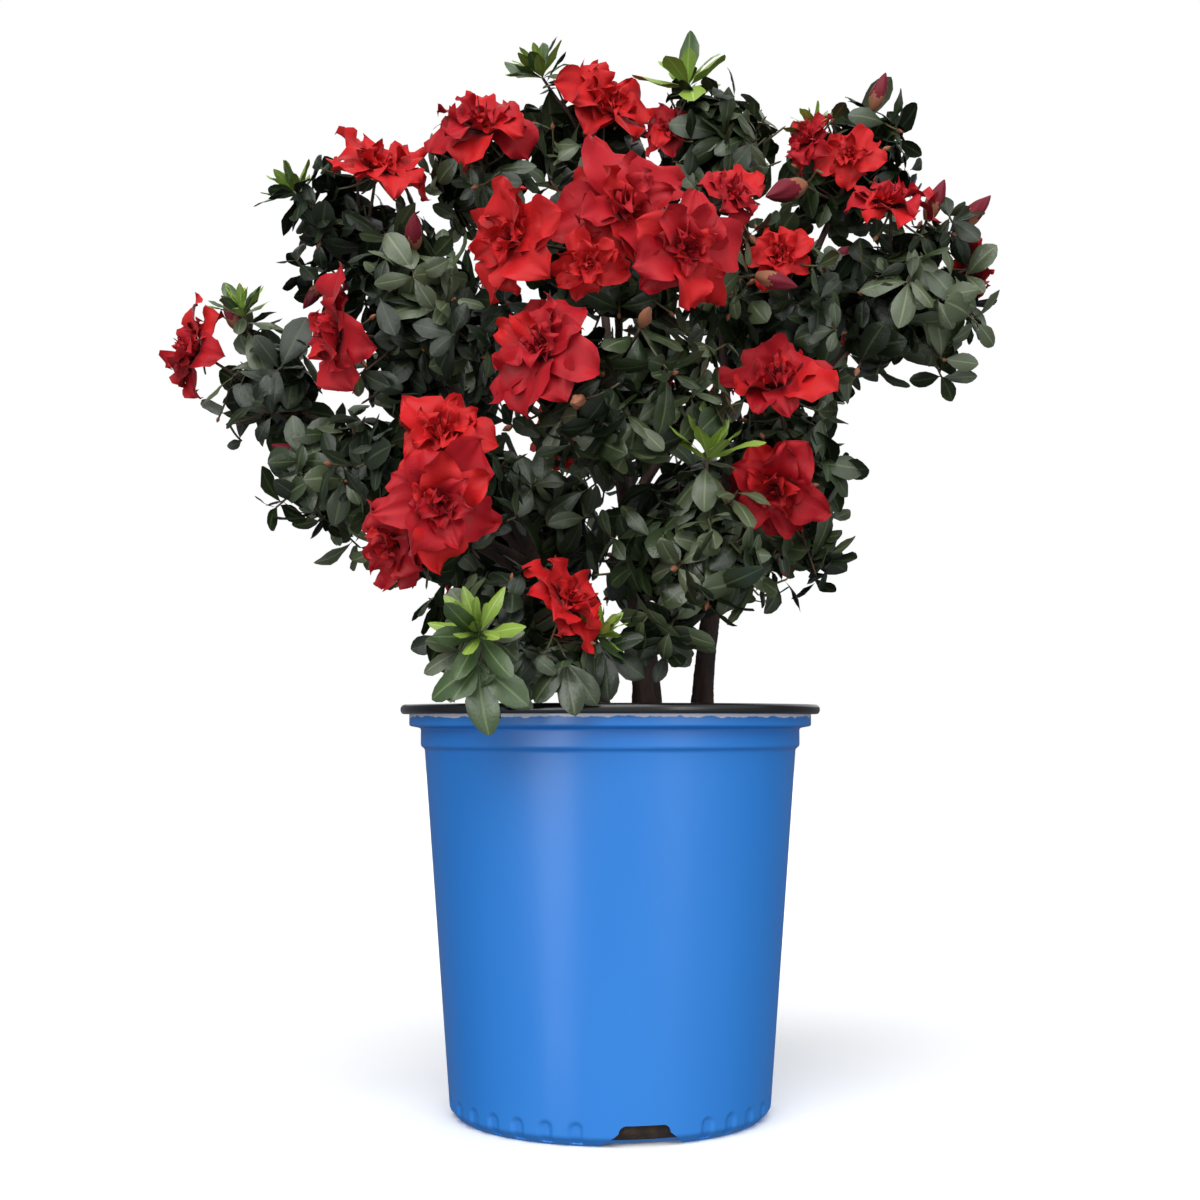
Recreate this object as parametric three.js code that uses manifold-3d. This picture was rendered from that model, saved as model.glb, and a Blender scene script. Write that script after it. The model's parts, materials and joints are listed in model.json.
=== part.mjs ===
// A red azalea shrub with double blooms in a round nursery pot.
// Millimetres, +Z up, the front of the plant faces -Y, the origin is on the ground under the pot's centre.
import * as THREE from 'three';
import * as BufferGeometryUtils from 'three/addons/utils/BufferGeometryUtils.js';
import Module from 'manifold-3d';

const wasm = await Module();
wasm.setup();

// ---- driving dimensions -------------------------------------------------------------------------

const CLEARANCE = 0.3;          // gap left between neighbouring solids
const FACET_ALLOWANCE = 0.1;    // more where flat facets stand in for round limbs

const POT = {
  height: 223,                  // a trade number 2 (two gallon) nursery pot
  rimRadius: 116.3,
  collarRadius: 111.4,          // the step right under the rim
  bandRadius: 105,              // the raised band under that step
  shoulderRadius: 102.8,        // where the tapered wall starts
  footRadius: 88,
  footRound: 4.5,
  rimHeight: 5.2,
  collarHeight: 6.5,
  bandHeight: 11,
  wall: 2,
  segments: 32,
};

const NOTCH = { count: 3, firstBearing: 11.2, width: 43, topWidth: 27, height: 11, depth: 13 };

const MIX = { level: 204, edgeLevel: 202, flatRadius: 72 };

// Every twig has five sides, with one leaf or petal on each.
const SIDES = 5;
const SECTOR = (2 * Math.PI) / SIDES;
const TWIG = { baseRadius: 1.2, radius: 1.1, leafRoot: 2.2, shortest: 0.62, longest: 0.85, backwards: -0.62 };

// Rings of leaves: their length, width over length, angles above the twig's square and droop.
const WHORL = { length: 50, slimness: 0.5, widestAt: 0.52, lowest: -14, highest: 44, droop: 0.16 };
const COLLAR_WHORL = { ...WHORL, length: 46, lowest: -34, highest: 2 };
const YOUNG_WHORL = { ...WHORL, slimness: 0.3, lowest: 40, highest: 68, droop: 0 };
const LEAF_TRIES = [1, 0.8];
const LEAF_SPREAD = { shortest: 0.85, longest: 1.1, turn: 0.2 };

const BUD = { slimness: 0.4, widestAt: 0.4 };

// Corners of a bloom as [distance out, lift], both as shares of its radius.
const PETALS = {
  gap: [0.52, 0.26],
  shoulder: [0.92, 0.4],
  tip: [1.02, 0.28],
  throat: [0.3, 0.2],
  innerGap: [0.3, 0.5],
  innerTip: [0.6, 0.62],
  crown: 0.38,
};
const BLOOM_BALL = { lift: 0.2, radius: 0.55 };     // the room a bloom holds, as shares of its size

const LIMB_MARGIN = 1.2;        // least distances from a leaf's edge to a limb, another leaf, the pot
const LEAF_MARGIN = 3;
const POT_MARGIN = 3;

// Stems rise from the mix. Base and tip are [x, y] and [x, y, z].
const STEMS = {
  left: { base: [-4, -13], tip: [-50, -20, 318], radius: 6.4, tipRadius: 4.0 },
  centre: { base: [19, -5], tip: [4, -6, 374], radius: 6.2, tipRadius: 3.4 },
  back: { base: [24, 21], tip: [12, 62, 352], radius: 6.0, tipRadius: 3.8 },
  right: { base: [51, 4], tip: [66, -6, 340], radius: 6.0, tipRadius: 4.3 },
};
const STEM = { sides: 7, steps: 7, lean: 0.28, straightness: 0.8 };
const ROOT_FLARE = { swell: 0.35, height: 14 };

const BOUGH = {
  radius: 3.1, tipRadius: 1.7, sides: 5, steps: 4,
  entry: 0.62,                  // how far out it enters its mass, as a share of the reach
  hang: -0.6, hangShare: 0.35,  // it comes in from below
  leaving: 0.35, arriving: 0.3,
};

// The mass's own stem, with the twigs' roots from "firstRoot" to "lastRoot" along it.
const MASS_STEM = {
  baseRadius: 2.2, tipRadius: 1.7, sides: 4, beyondCentre: 0.3,
  firstRoot: 0.12, lastRoot: 0.96, rootOffset: 0.7,
};
const BEAD_STEP = 3;            // spacing of the points that stand for limbs and twigs
const FIRST_SEED = 7;
const SMALLEST_DETAIL = 0.03;

// Each mass of foliage is fed by one bough, which leaves a stem at the share "fork" of its length.
// Blooms, buds and young shoots stand out of the mass at [bearing, rise, share of the reach, size]:
// bearing 0 faces the front and 90 the right, rise 90 points straight up, and size is in mm.
const MASSES = {
  far_left: {
    stem: 'left', fork: 0.86, centre: [-189, -12, 396], reach: [41, 36, 34], twigs: 6,
    blooms: [[-92, 36, 1.2, 52]], buds: [[-80, 66, 1.15, 18]], shoots: [[-30, 62, 1.3, 24]],
  },
  low_left: {
    stem: 'left', fork: 0.62, centre: [-150, -25, 352], reach: [38, 38, 33], twigs: 6,
    blooms: [], buds: [[-75, 20, 0.5, 19]], shoots: [],
  },
  upper_left: {
    stem: 'left', fork: 0.97, centre: [-140, 0, 492], reach: [44, 44, 38], twigs: 5,
    blooms: [[22, 48, 0.9, 54]], buds: [[-95, -55, 0.95, 18]], shoots: [[-80, 30, 0.95, 26]],
  },
  left: {
    stem: 'left', fork: 0.9, centre: [-106, -68, 420], reach: [46, 42, 50], twigs: 6,
    blooms: [[-62, -6, 0.82, 52]], buds: [[8, 44, 1.0, 22]], shoots: [],
  },
  top_left: {
    stem: 'centre', fork: 0.88, centre: [-70, 4, 526], reach: [40, 42, 36], twigs: 5,
    blooms: [[-2, 34, 0.85, 52]], buds: [], shoots: [],
  },
  top: {
    stem: 'centre', fork: 0.98, centre: [-14, 22, 548], reach: [40, 42, 40], twigs: 5,
    blooms: [[26, 30, 0.72, 52]], buds: [], shoots: [[-62, 52, 1.12, 28]],
  },
  top_right: {
    stem: 'right', fork: 0.93, centre: [58, 8, 541], reach: [40, 42, 38], twigs: 6,
    blooms: [[-60, 12, 0.76, 34]], buds: [], shoots: [[-40, 58, 0.95, 36]],
  },
  upper_right: {
    stem: 'right', fork: 0.98, centre: [138, 6, 528], reach: [38, 40, 38], twigs: 6,
    blooms: [[-58, 22, 0.85, 34], [-10, 5, 0.55, 36]], buds: [[60, 68, 0.95, 22], [-52, -22, 1.05, 32]],
    shoots: [[-75, 45, 0.72, 24]],
  },
  right: {
    stem: 'right', fork: 0.88, centre: [156, -20, 450], reach: [48, 46, 44], twigs: 6,
    blooms: [[-8, 60, 1.1, 48], [100, 22, 1.04, 36]], buds: [[62, 64, 1.0, 24], [80, 46, 1.15, 24]],
    shoots: [],
  },
  front_top: {
    stem: 'centre', fork: 0.93, centre: [4, -98, 454], reach: [74, 46, 44], twigs: 3,
    blooms: [[-46, -2, 0.95, 52], [2, 18, 0.8, 60], [24, -12, 1.05, 54], [-12, -22, 1.02, 36],
      [74, 36, 1.0, 38]],
    buds: [[82, -18, 1.0, 22]], shoots: [],
  },
  front: {
    stem: 'centre', fork: 0.72, centre: [-2, -104, 382], reach: [62, 44, 48], twigs: 7,
    blooms: [[-30, 14, 1.0, 56]], buds: [[-12, -16, 1.02, 16], [18, 30, 1.0, 14]], shoots: [],
  },
  front_left: {
    stem: 'left', fork: 0.76, centre: [-88, -92, 330], reach: [40, 42, 50], twigs: 6,
    blooms: [[8, 34, 0.85, 46], [6, -10, 1.15, 55], [-38, -34, 0.92, 46]], buds: [], shoots: [],
  },
  low_front: {
    stem: 'left', fork: 0.4, centre: [-52, -96, 260], reach: [42, 38, 32], twigs: 6,
    blooms: [[50, 24, 0.98, 44]], buds: [[-4, 20, 0.6, 14]], shoots: [[-15, -8, 1.1, 32], [72, -6, 1.1, 22]],
  },
  low_right: {
    stem: 'centre', fork: 0.5, centre: [44, -84, 302], reach: [40, 44, 58], twigs: 7,
    blooms: [], buds: [], shoots: [[8, 46, 1.0, 34]],
  },
  right_low: {
    stem: 'right', fork: 0.72, centre: [94, -46, 350], reach: [28, 40, 45], twigs: 7,
    blooms: [[-18, 44, 1.2, 52], [-22, -24, 0.75, 48]], buds: [], shoots: [],
  },
  mid_right: {
    stem: 'right', fork: 0.76, centre: [96, -34, 448], reach: [38, 40, 46], twigs: 6,
    blooms: [[-12, 20, 0.78, 36]], buds: [], shoots: [],
  },
  back_left: {
    stem: 'back', fork: 0.95, centre: [-92, 92, 442], reach: [52, 46, 52], twigs: 6,
    blooms: [[-150, 10, 0.95, 54], [-100, 38, 0.95, 50]], buds: [[-60, 52, 1.0, 20]], shoots: [],
  },
  back_top: {
    stem: 'back', fork: 0.99, centre: [0, 98, 512], reach: [54, 46, 42], twigs: 6,
    blooms: [[-165, 38, 0.95, 56], [140, 12, 0.98, 52], [40, 78, 0.9, 48]], buds: [],
    shoots: [[-120, 62, 1.0, 28]],
  },
  back_right: {
    stem: 'back', fork: 0.9, centre: [104, 84, 452], reach: [52, 46, 54], twigs: 6,
    blooms: [[118, 22, 0.95, 54], [160, 40, 0.95, 48]], buds: [[95, 50, 1.0, 20]], shoots: [],
  },
  back: {
    stem: 'back', fork: 0.84, centre: [4, 122, 414], reach: [52, 42, 48], twigs: 6,
    blooms: [[172, 5, 1.0, 56], [-142, -14, 0.98, 50]], buds: [], shoots: [],
  },
  back_low_left: {
    stem: 'left', fork: 0.7, centre: [-66, 60, 330], reach: [46, 44, 46], twigs: 6,
    blooms: [[-128, -6, 0.95, 50]], buds: [], shoots: [[-165, 18, 1.0, 26]],
  },
  back_low_right: {
    stem: 'back', fork: 0.66, centre: [60, 76, 326], reach: [46, 44, 46], twigs: 6,
    blooms: [[130, 8, 0.95, 52]], buds: [], shoots: [[168, -12, 1.0, 24]],
  },
};

// ---- small helpers ------------------------------------------------------------------------------

const UP = new THREE.Vector3(0, 0, 1);
const GOLDEN_ANGLE = Math.PI * (3 - Math.sqrt(5));
const degrees = THREE.MathUtils.degToRad;
const mix = THREE.MathUtils.lerp;

// Seeded random numbers from 0 to 1 (mulberry32).
function seeded(seed) {
  let state = seed;
  return () => {
    state = (state + 0x6d2b79f5) | 0;
    let t = Math.imul(state ^ (state >>> 15), 1 | state);
    t = (t + Math.imul(t ^ (t >>> 7), 61 | t)) ^ t;
    return ((t ^ (t >>> 14)) >>> 0) / 4294967296;
  };
}

function compass(bearing, rise) {
  const [turn, lift] = [degrees(bearing), degrees(rise)];
  const level = Math.cos(lift);
  return new THREE.Vector3(Math.sin(turn) * level, -Math.cos(turn) * level, Math.sin(lift));
}

// Two directions square to d and to each other.
function across(d) {
  const helper = Math.abs(d.z) < 0.9 ? UP : new THREE.Vector3(1, 0, 0);
  const u = new THREE.Vector3().crossVectors(helper, d).normalize();
  return [u, new THREE.Vector3().crossVectors(d, u)];
}

function toSolid(geometry) {
  const bare = geometry.clone();
  bare.deleteAttribute('normal');
  bare.deleteAttribute('uv');
  const merged = BufferGeometryUtils.mergeVertices(bare, 1e-4);
  const mesh = new wasm.Mesh({
    numProp: 3,
    vertProperties: new Float32Array(merged.attributes.position.array),
    triVerts: new Uint32Array(merged.index.array),
  });
  return new wasm.Manifold(mesh);
}

function toGeometry(solid) {
  const mesh = solid.getMesh();
  const geometry = new THREE.BufferGeometry();
  geometry.setAttribute('position', new THREE.BufferAttribute(new Float32Array(mesh.vertProperties), 3));
  geometry.setIndex(new THREE.BufferAttribute(new Uint32Array(mesh.triVerts), 1));
  geometry.computeVertexNormals();
  return geometry;
}

const largestPiece = (solid) => solid.decompose().sort((a, b) => b.volume() - a.volume())[0];

// ---- pot and potting mix ------------------------------------------------------------------------

// Radii and heights up the outside of the pot, "inset" further in.
function potOutline(inset) {
  const p = POT;
  const collarTop = p.height - p.rimHeight;
  const bandTop = collarTop - p.collarHeight;
  const bandBottom = bandTop - p.bandHeight;
  return [
    [p.footRadius - p.footRound - inset, inset],
    [p.footRadius - inset, p.footRound + inset],
    [p.shoulderRadius - inset, bandBottom - 1.5],
    [p.bandRadius - inset, bandBottom + (inset ? 1.2 : 0)],
    [p.bandRadius - inset, bandTop - 1.2],
    [p.collarRadius - inset, bandTop + (inset ? 1.2 : 0)],
  ];
}

function lathe(profile) {
  const points = profile.map(([radius, height]) => new THREE.Vector2(radius, height));
  const geometry = new THREE.LatheGeometry(points, POT.segments);
  geometry.rotateX(Math.PI / 2);
  return geometry;
}

function notchCutter(bearing) {
  const { width, topWidth, height, depth } = NOTCH;
  const outline = new THREE.Shape([
    new THREE.Vector2(-width / 2, -2),
    new THREE.Vector2(width / 2, -2),
    new THREE.Vector2(topWidth / 2, height),
    new THREE.Vector2(-topWidth / 2, height),
  ]);
  const geometry = new THREE.ExtrudeGeometry(outline, { depth: 2 * depth, bevelEnabled: false });
  geometry.rotateX(Math.PI / 2);
  geometry.translate(0, -(POT.footRadius - depth), 0);
  geometry.rotateZ(degrees(bearing));
  return toSolid(geometry);
}

function pot() {
  const p = POT;
  const rimBottom = p.height - p.rimHeight;
  const outside = [
    [0, 0],
    ...potOutline(0),
    [p.collarRadius, rimBottom],
    [p.rimRadius - 1, rimBottom],
    [p.rimRadius, rimBottom + 1.6],
    [p.rimRadius, p.height - 1.6],
    [p.rimRadius - 1.4, p.height],
    [p.collarRadius - p.wall, p.height],
  ];
  const inside = potOutline(p.wall).reverse();
  let solid = toSolid(lathe([...outside, ...inside, [0, p.wall]]));
  for (let i = 0; i < NOTCH.count; i += 1) {
    solid = solid.subtract(notchCutter(NOTCH.firstBearing + (i * 360) / NOTCH.count));
  }
  return toGeometry(solid);
}

// The mix fills the pot to below the band, clear of its wall all round.
function pottingMix() {
  const inset = POT.wall + CLEARANCE;
  const [foot, wallFoot, shoulder, bandLow] = potOutline(inset);
  return toGeometry(toSolid(lathe([
    [0, inset], foot, wallFoot, shoulder, bandLow,
    [bandLow[0], MIX.edgeLevel], [MIX.flatRadius, MIX.level], [0, MIX.level],
  ])));
}

// ---- stems and boughs ---------------------------------------------------------------------------

// A tapering round limb along a curve: a cylinder whose rings are moved onto the curve.
function limbGeometry(curve, radiusAt, sides, steps) {
  const geometry = new THREE.CylinderGeometry(1, 1, 1, sides, steps);
  const frames = curve.computeFrenetFrames(steps, false);
  const place = geometry.attributes.position;
  for (let i = 0; i < place.count; i += 1) {
    const ring = Math.round((place.getY(i) + 0.5) * steps);
    const radius = radiusAt(ring / steps);
    const point = curve.getPointAt(ring / steps)
      .addScaledVector(frames.normals[ring], place.getX(i) * radius)
      .addScaledVector(frames.binormals[ring], -place.getZ(i) * radius);
    place.setXYZ(i, point.x, point.y, point.z);
  }
  return geometry;
}

function stemCurve(stem) {
  const foot = MIX.level + CLEARANCE;
  const base = new THREE.Vector3(stem.base[0], stem.base[1], foot);
  const tip = new THREE.Vector3(...stem.tip);
  const rise = (tip.z - foot) / 3;
  const before = base.clone().sub(tip).multiplyScalar(STEM.lean).setZ(-STEM.straightness * rise).add(tip);
  return new THREE.CubicBezierCurve3(base, base.clone().setZ(foot + rise), before, tip);
}

const limbs = [];               // every stem and bough so far, with its curve, radius and solid

function addStem(name, stem) {
  const curve = stemCurve(stem);
  const length = curve.getLength();
  const radiusAt = (t) => mix(stem.radius, stem.tipRadius, t)
    * (1 + ROOT_FLARE.swell * Math.exp((-t * length) / ROOT_FLARE.height));
  const { sides, steps } = STEM;
  const solid = toSolid(limbGeometry(curve, radiusAt, sides, steps));
  limbs.push({ name: `stem_${name}`, curve, radiusAt, solid, sides, steps });
}

// A bough leaves its stem's axis, curves outwards and ends where it enters its mass.
function boughCurve(mass) {
  const stem = limbs.find((limb) => limb.name === `stem_${mass.stem}`);
  const start = stem.curve.getPointAt(mass.fork);
  const centre = new THREE.Vector3(...mass.centre);
  const reach = new THREE.Vector3(...mass.reach);
  const inwards = start.clone().sub(centre).normalize();
  inwards.z = mix(inwards.z, BOUGH.hang, BOUGH.hangShare);
  inwards.normalize();
  const end = centre.clone().add(inwards.multiply(reach).multiplyScalar(BOUGH.entry));
  const span = start.distanceTo(end);
  const outwards = end.clone().sub(start).normalize();
  const leaving = stem.curve.getTangentAt(mass.fork).lerp(outwards, 0.5).normalize();
  const arriving = centre.clone().sub(end).normalize();
  return new THREE.CubicBezierCurve3(
    start,
    start.clone().addScaledVector(leaving, span * BOUGH.leaving),
    end.clone().addScaledVector(arriving, -span * BOUGH.arriving),
    end,
  );
}

// The bough is cut clear of every limb that was there before it.
function addBough(name, mass) {
  const curve = boughCurve(mass);
  const radiusAt = (t) => mix(BOUGH.radius, BOUGH.tipRadius, t);
  const { sides, steps } = BOUGH;
  let cut = toSolid(limbGeometry(curve, radiusAt, sides, steps));
  for (const limb of limbs) {
    const fatRadius = (t) => limb.radiusAt(t) + CLEARANCE + FACET_ALLOWANCE;
    const sleeve = toSolid(limbGeometry(limb.curve, fatRadius, limb.sides, limb.steps));
    cut = cut.subtract(sleeve);
  }
  limbs.push({ name: `bough_${name}`, curve, radiusAt, solid: largestPiece(cut), sides, steps });
}

// ---- twigs with their leaves and blooms ---------------------------------------------------------

// A twig is one closed skin: rings of corners along its axis, with every leaf and petal let into a
// side of it.
class Skin {
  constructor() {
    this.corners = [];
    this.index = [];
  }

  corner(point) {
    return this.corners.push(point) - 1;
  }

  ring(centre, axes, radius, turn, sides = SIDES) {
    const corners = [];
    for (let i = 0; i < sides; i += 1) {
      corners.push(this.corner(pointOn(centre, axes, radius, turn + (i * 2 * Math.PI) / sides, 0)));
    }
    return corners;
  }

  triangles(...rows) {
    rows.forEach((row) => this.index.push(...row));
  }

  // A twig starts three-sided in its stem and widens to five sides.
  foot(centre, axes, radius, turn, upper) {
    const [a, b, c] = this.ring(centre, axes, radius, turn, 3);
    const [p, q, r, s, t] = upper;
    this.triangles([a, c, b], [a, q, p], [a, b, q], [b, r, q], [b, s, r]);
    this.triangles([b, c, s], [c, t, s], [c, a, t], [a, p, t]);
  }

  closeAbove(ring, apex) {
    const top = this.corner(apex);
    ring.forEach((low, i) => this.triangles([low, ring[(i + 1) % SIDES], top]));
  }

  // The side between two rings; "blades" has the outline of the leaf on each side, or nothing.
  band(lower, upper, blades = []) {
    for (let i = 0; i < SIDES; i += 1) {
      const j = (i + 1) % SIDES;
      const [p, q, r, s] = [lower[i], lower[j], upper[j], upper[i]];
      if (blades[i]) {
        const [a, t, b] = blades[i].map((point) => this.corner(point));
        this.triangles([s, a, t], [s, t, r], [r, t, b], [p, t, a]);
        this.triangles([p, q, t], [q, b, t], [p, a, s], [q, r, b]);
      } else {
        this.triangles([p, q, r], [p, r, s]);
      }
    }
  }

  // The outer petals spread from the calyx, the inner ones stand up round the throat.
  corolla(calyx, origin, axes, size, turn) {
    const around = (out, lift, shift) => calyx.map((_, i) => this.corner(
      pointOn(origin, axes, (out * size) / 2, turn + (i + shift) * SECTOR, (lift * size) / 2),
    ));
    const { gap, shoulder, tip, throat, innerGap, innerTip, crown } = PETALS;
    const gaps = around(...gap, 0);
    const left = around(...shoulder, 0.24);
    const tips = around(...tip, 0.5);
    const right = around(...shoulder, 0.76);
    const throats = around(...throat, 0);
    const innerGaps = around(...innerGap, 0);
    const innerTips = around(...innerTip, 0.5);
    const top = this.corner(origin.clone().addScaledVector(axes.w, (crown * size) / 2));
    for (let i = 0; i < SIDES; i += 1) {
      const j = (i + 1) % SIDES;
      const [a, t, b, m] = [left[i], tips[i], right[i], innerTips[i]];
      this.triangles([calyx[i], calyx[j], t], [calyx[i], t, a], [calyx[i], a, gaps[i]]);
      this.triangles([calyx[j], b, t], [calyx[j], gaps[j], b]);
      this.triangles([throats[i], gaps[i], a], [throats[i], a, t], [throats[i], t, throats[j]]);
      this.triangles([throats[j], t, b], [throats[j], b, gaps[j]]);
      this.triangles([throats[i], throats[j], m], [throats[i], m, innerGaps[i]]);
      this.triangles([throats[j], innerGaps[j], m], [innerGaps[i], m, top], [m, innerGaps[j], top]);
    }
  }

  geometry() {
    const geometry = new THREE.BufferGeometry().setFromPoints(this.corners);
    geometry.setIndex(this.index);
    return geometry;
  }
}

// Local directions of a twig: u and v across it, w along it. A turned frame keeps u and v near the
// old ones, so that a skin doesn't twist.
function axesAlong(direction, before) {
  const [u] = before ? [before.u.clone().projectOnPlane(direction).normalize()] : across(direction);
  return { u, v: new THREE.Vector3().crossVectors(direction, u), w: direction };
}

function pointOn(origin, axes, radius, angle, height) {
  return origin.clone()
    .addScaledVector(axes.u, radius * Math.cos(angle))
    .addScaledVector(axes.v, radius * Math.sin(angle))
    .addScaledVector(axes.w, height);
}

const at = (point, direction, distance) => point.clone().addScaledVector(direction, distance);

const whorlOf = (kind, size) => ({
  bloom: COLLAR_WHORL,
  bud: COLLAR_WHORL,
  shoot: { ...YOUNG_WHORL, length: size },
  leaves: WHORL,
}[kind]);

// The outline of one leaf: its two widest points with its tip between them.
function leafOutline(origin, axes, whorl, share, angle, random) {
  const lift = degrees(mix(whorl.lowest, whorl.highest, random()));
  const length = whorl.length * share * mix(LEAF_SPREAD.shortest, LEAF_SPREAD.longest, random());
  const along = new THREE.Vector3()
    .addScaledVector(axes.u, Math.cos(angle) * Math.cos(lift))
    .addScaledVector(axes.v, Math.sin(angle) * Math.cos(lift))
    .addScaledVector(axes.w, Math.sin(lift));
  const side = new THREE.Vector3()
    .addScaledVector(axes.u, -Math.sin(angle))
    .addScaledVector(axes.v, Math.cos(angle));
  const widest = origin.clone().addScaledVector(along, whorl.widestAt * length);
  const tip = origin.clone().addScaledVector(along, length).addScaledVector(UP, -whorl.droop * length);
  const half = (whorl.slimness * length) / 2;
  return [widest.clone().addScaledVector(side, -half), tip, widest.clone().addScaledVector(side, half)];
}

// A ring of leaves round the twig. A leaf that lacks room is tried shorter, then stays off.
function addWhorl(skin, lower, origin, axes, turn, whorl, random, space) {
  const upper = skin.ring(origin, axes, TWIG.radius, turn);
  const grown = [];
  const blades = upper.map((_, i) => {
    for (const share of LEAF_TRIES) {
      const angle = turn + (i + 0.5 + (random() - 0.5) * LEAF_SPREAD.turn) * SECTOR;
      const outline = leafOutline(origin, axes, whorl, share, angle, random);
      const marks = spacedPoints(outline).flatMap((point) => spacedPoints([origin, point]))
        .filter((point) => point.distanceTo(origin) > LEAF_MARGIN);
      if (space.hasRoom(marks)) {
        grown.push(...marks);
        return outline;
      }
    }
    return null;
  });
  space.take(grown);
  skin.band(lower, upper, blades);
  return upper;
}

function twigSkin(twig, space) {
  const { kind, root, tip, direction, size, random } = twig;
  space.own = twig;
  const skin = new Skin();
  const forward = tip.clone().sub(root).normalize();
  const axes = axesAlong(forward);
  const turn = random() * SECTOR;
  const facing = kind === 'leaves' ? forward.clone().lerp(direction, 0.5).normalize() : direction;
  const endAxes = axesAlong(facing, axes);
  const low = skin.ring(at(tip, facing, -TWIG.leafRoot), endAxes, TWIG.radius, turn);
  skin.foot(root, axes, TWIG.baseRadius, turn, low);
  const high = addWhorl(skin, low, tip, endAxes, turn, whorlOf(kind, size), random, space);
  if (kind === 'bloom') {
    skin.corolla(high, tip, endAxes, size, turn);
  } else if (kind === 'bud') {
    const belly = skin.ring(at(tip, facing, BUD.widestAt * size), endAxes, (BUD.slimness * size) / 2, turn);
    skin.band(high, belly);
    skin.closeAbove(belly, at(tip, facing, size));
  } else {
    skin.closeAbove(high, at(tip, facing, TWIG.radius));
  }
  return skin;
}

// ---- keeping each mass to its own space ---------------------------------------------------------

const centreOf = (mass) => new THREE.Vector3(...mass.centre);
const weightOf = (mass) => (Math.cbrt(mass.reach[0] * mass.reach[1] * mass.reach[2])) ** 2;

// How far a point is inside the mass's own cell: the least distance to the planes that part it
// from the other masses.
function depthInCell(point, mass) {
  const centre = centreOf(mass);
  let least = Infinity;
  for (const other of Object.values(MASSES)) {
    if (other !== mass) {
      const apart = centreOf(other).distanceTo(centre);
      const lead = point.distanceToSquared(centreOf(other)) - weightOf(other)
        - point.distanceToSquared(centre) + weightOf(mass);
      least = Math.min(least, lead / (2 * apart));
    }
  }
  return least;
}

// Points every few millimetres along a run of corners.
function spacedPoints(corners, step = 4) {
  const points = [];
  for (let i = 0; i + 1 < corners.length; i += 1) {
    const count = Math.ceil(corners[i].distanceTo(corners[i + 1]) / step) || 1;
    for (let k = 0; k <= count; k += 1) {
      points.push(corners[i].clone().lerp(corners[i + 1], k / count));
    }
  }
  return points;
}

function limbBeads() {
  const beads = [];
  for (const limb of limbs) {
    const count = Math.ceil(limb.curve.getLength() / BEAD_STEP);
    for (let i = 0; i <= count; i += 1) {
      beads.push({ point: limb.curve.getPointAt(i / count), radius: limb.radiusAt(i / count) });
    }
  }
  return beads;
}

// Every bloom holds a ball of space that the other masses stay out of.
function bloomBalls() {
  const balls = [];
  for (const mass of Object.values(MASSES)) {
    for (const [bearing, rise, share, size] of mass.blooms) {
      const direction = compass(bearing, rise);
      const foot = tipAt(mass, direction, share);
      const point = at(foot, direction, BLOOM_BALL.lift * size);
      balls.push({ mass, foot, point, radius: BLOOM_BALL.radius * size });
    }
  }
  return balls;
}

function touchesPot(point) {
  return point.z < POT.height + POT_MARGIN && Math.hypot(point.x, point.y) < POT.rimRadius + POT_MARGIN;
}

// The room that one mass has: its cell, less the pot, the limbs, the blooms of other masses and
// what it has grown already.
class Space {
  constructor(mass, beads, balls) {
    this.mass = mass;
    this.beads = beads;
    this.balls = balls;
    this.taken = [];
  }

  take(points, owner) {
    points.forEach((point) => this.taken.push({ point, owner }));
  }

  clearOfLimbs(points) {
    return points.every((point) => !touchesPot(point)
      && this.beads.every((bead) => point.distanceTo(bead.point) > bead.radius + LIMB_MARGIN));
  }

  clearOfNeighbours(points, twig) {
    const balls = this.balls.filter((ball) => ball.mass !== this.mass || ball.foot.distanceTo(twig.tip) > 1);
    return points.every((point) => depthInCell(point, this.mass) > CLEARANCE
      && balls.every((ball) => point.distanceTo(ball.point) > ball.radius));
  }

  hasRoom(points) {
    return this.clearOfNeighbours(points, this.own) && this.clearOfLimbs(points)
      && points.every((point) => this.taken.every((other) => other.owner === this.own
        || point.distanceTo(other.point) > LEAF_MARGIN));
  }
}

// ---- the growth rule of a mass ------------------------------------------------------------------

// The mass's own stem goes on from the bough's tip through the centre, and every twig leaves it.
function massStem(mass, bough) {
  const forward = bough.curve.getTangentAt(1);
  const start = at(bough.curve.getPointAt(1), forward, CLEARANCE);
  const top = at(centreOf(mass), forward, MASS_STEM.beyondCentre * Math.min(...mass.reach));
  return { start, top };
}

function massStemGeometry({ start, top }) {
  const forward = top.clone().sub(start);
  const length = forward.length();
  const { u, v, w } = axesAlong(forward.normalize());
  const { tipRadius, baseRadius, sides } = MASS_STEM;
  const geometry = new THREE.CylinderGeometry(tipRadius, baseRadius, length, sides);
  geometry.rotateX(Math.PI / 2);
  geometry.translate(0, 0, length / 2);
  geometry.applyMatrix4(new THREE.Matrix4().makeBasis(u, v, w));
  geometry.translate(start.x, start.y, start.z);
  return geometry;
}

// Directions spread evenly by the golden angle from the stem's end almost back to its root.
function spreadDirection(axes, i, count, turn) {
  const height = mix(1, TWIG.backwards, (i + 0.5) / count);
  return pointOn(new THREE.Vector3(), axes, Math.sqrt(1 - height * height), i * GOLDEN_ANGLE + turn, height);
}

function tipAt(mass, direction, share) {
  const reach = new THREE.Vector3(...mass.reach);
  return centreOf(mass).add(reach.multiply(direction).multiplyScalar(share));
}

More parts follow.
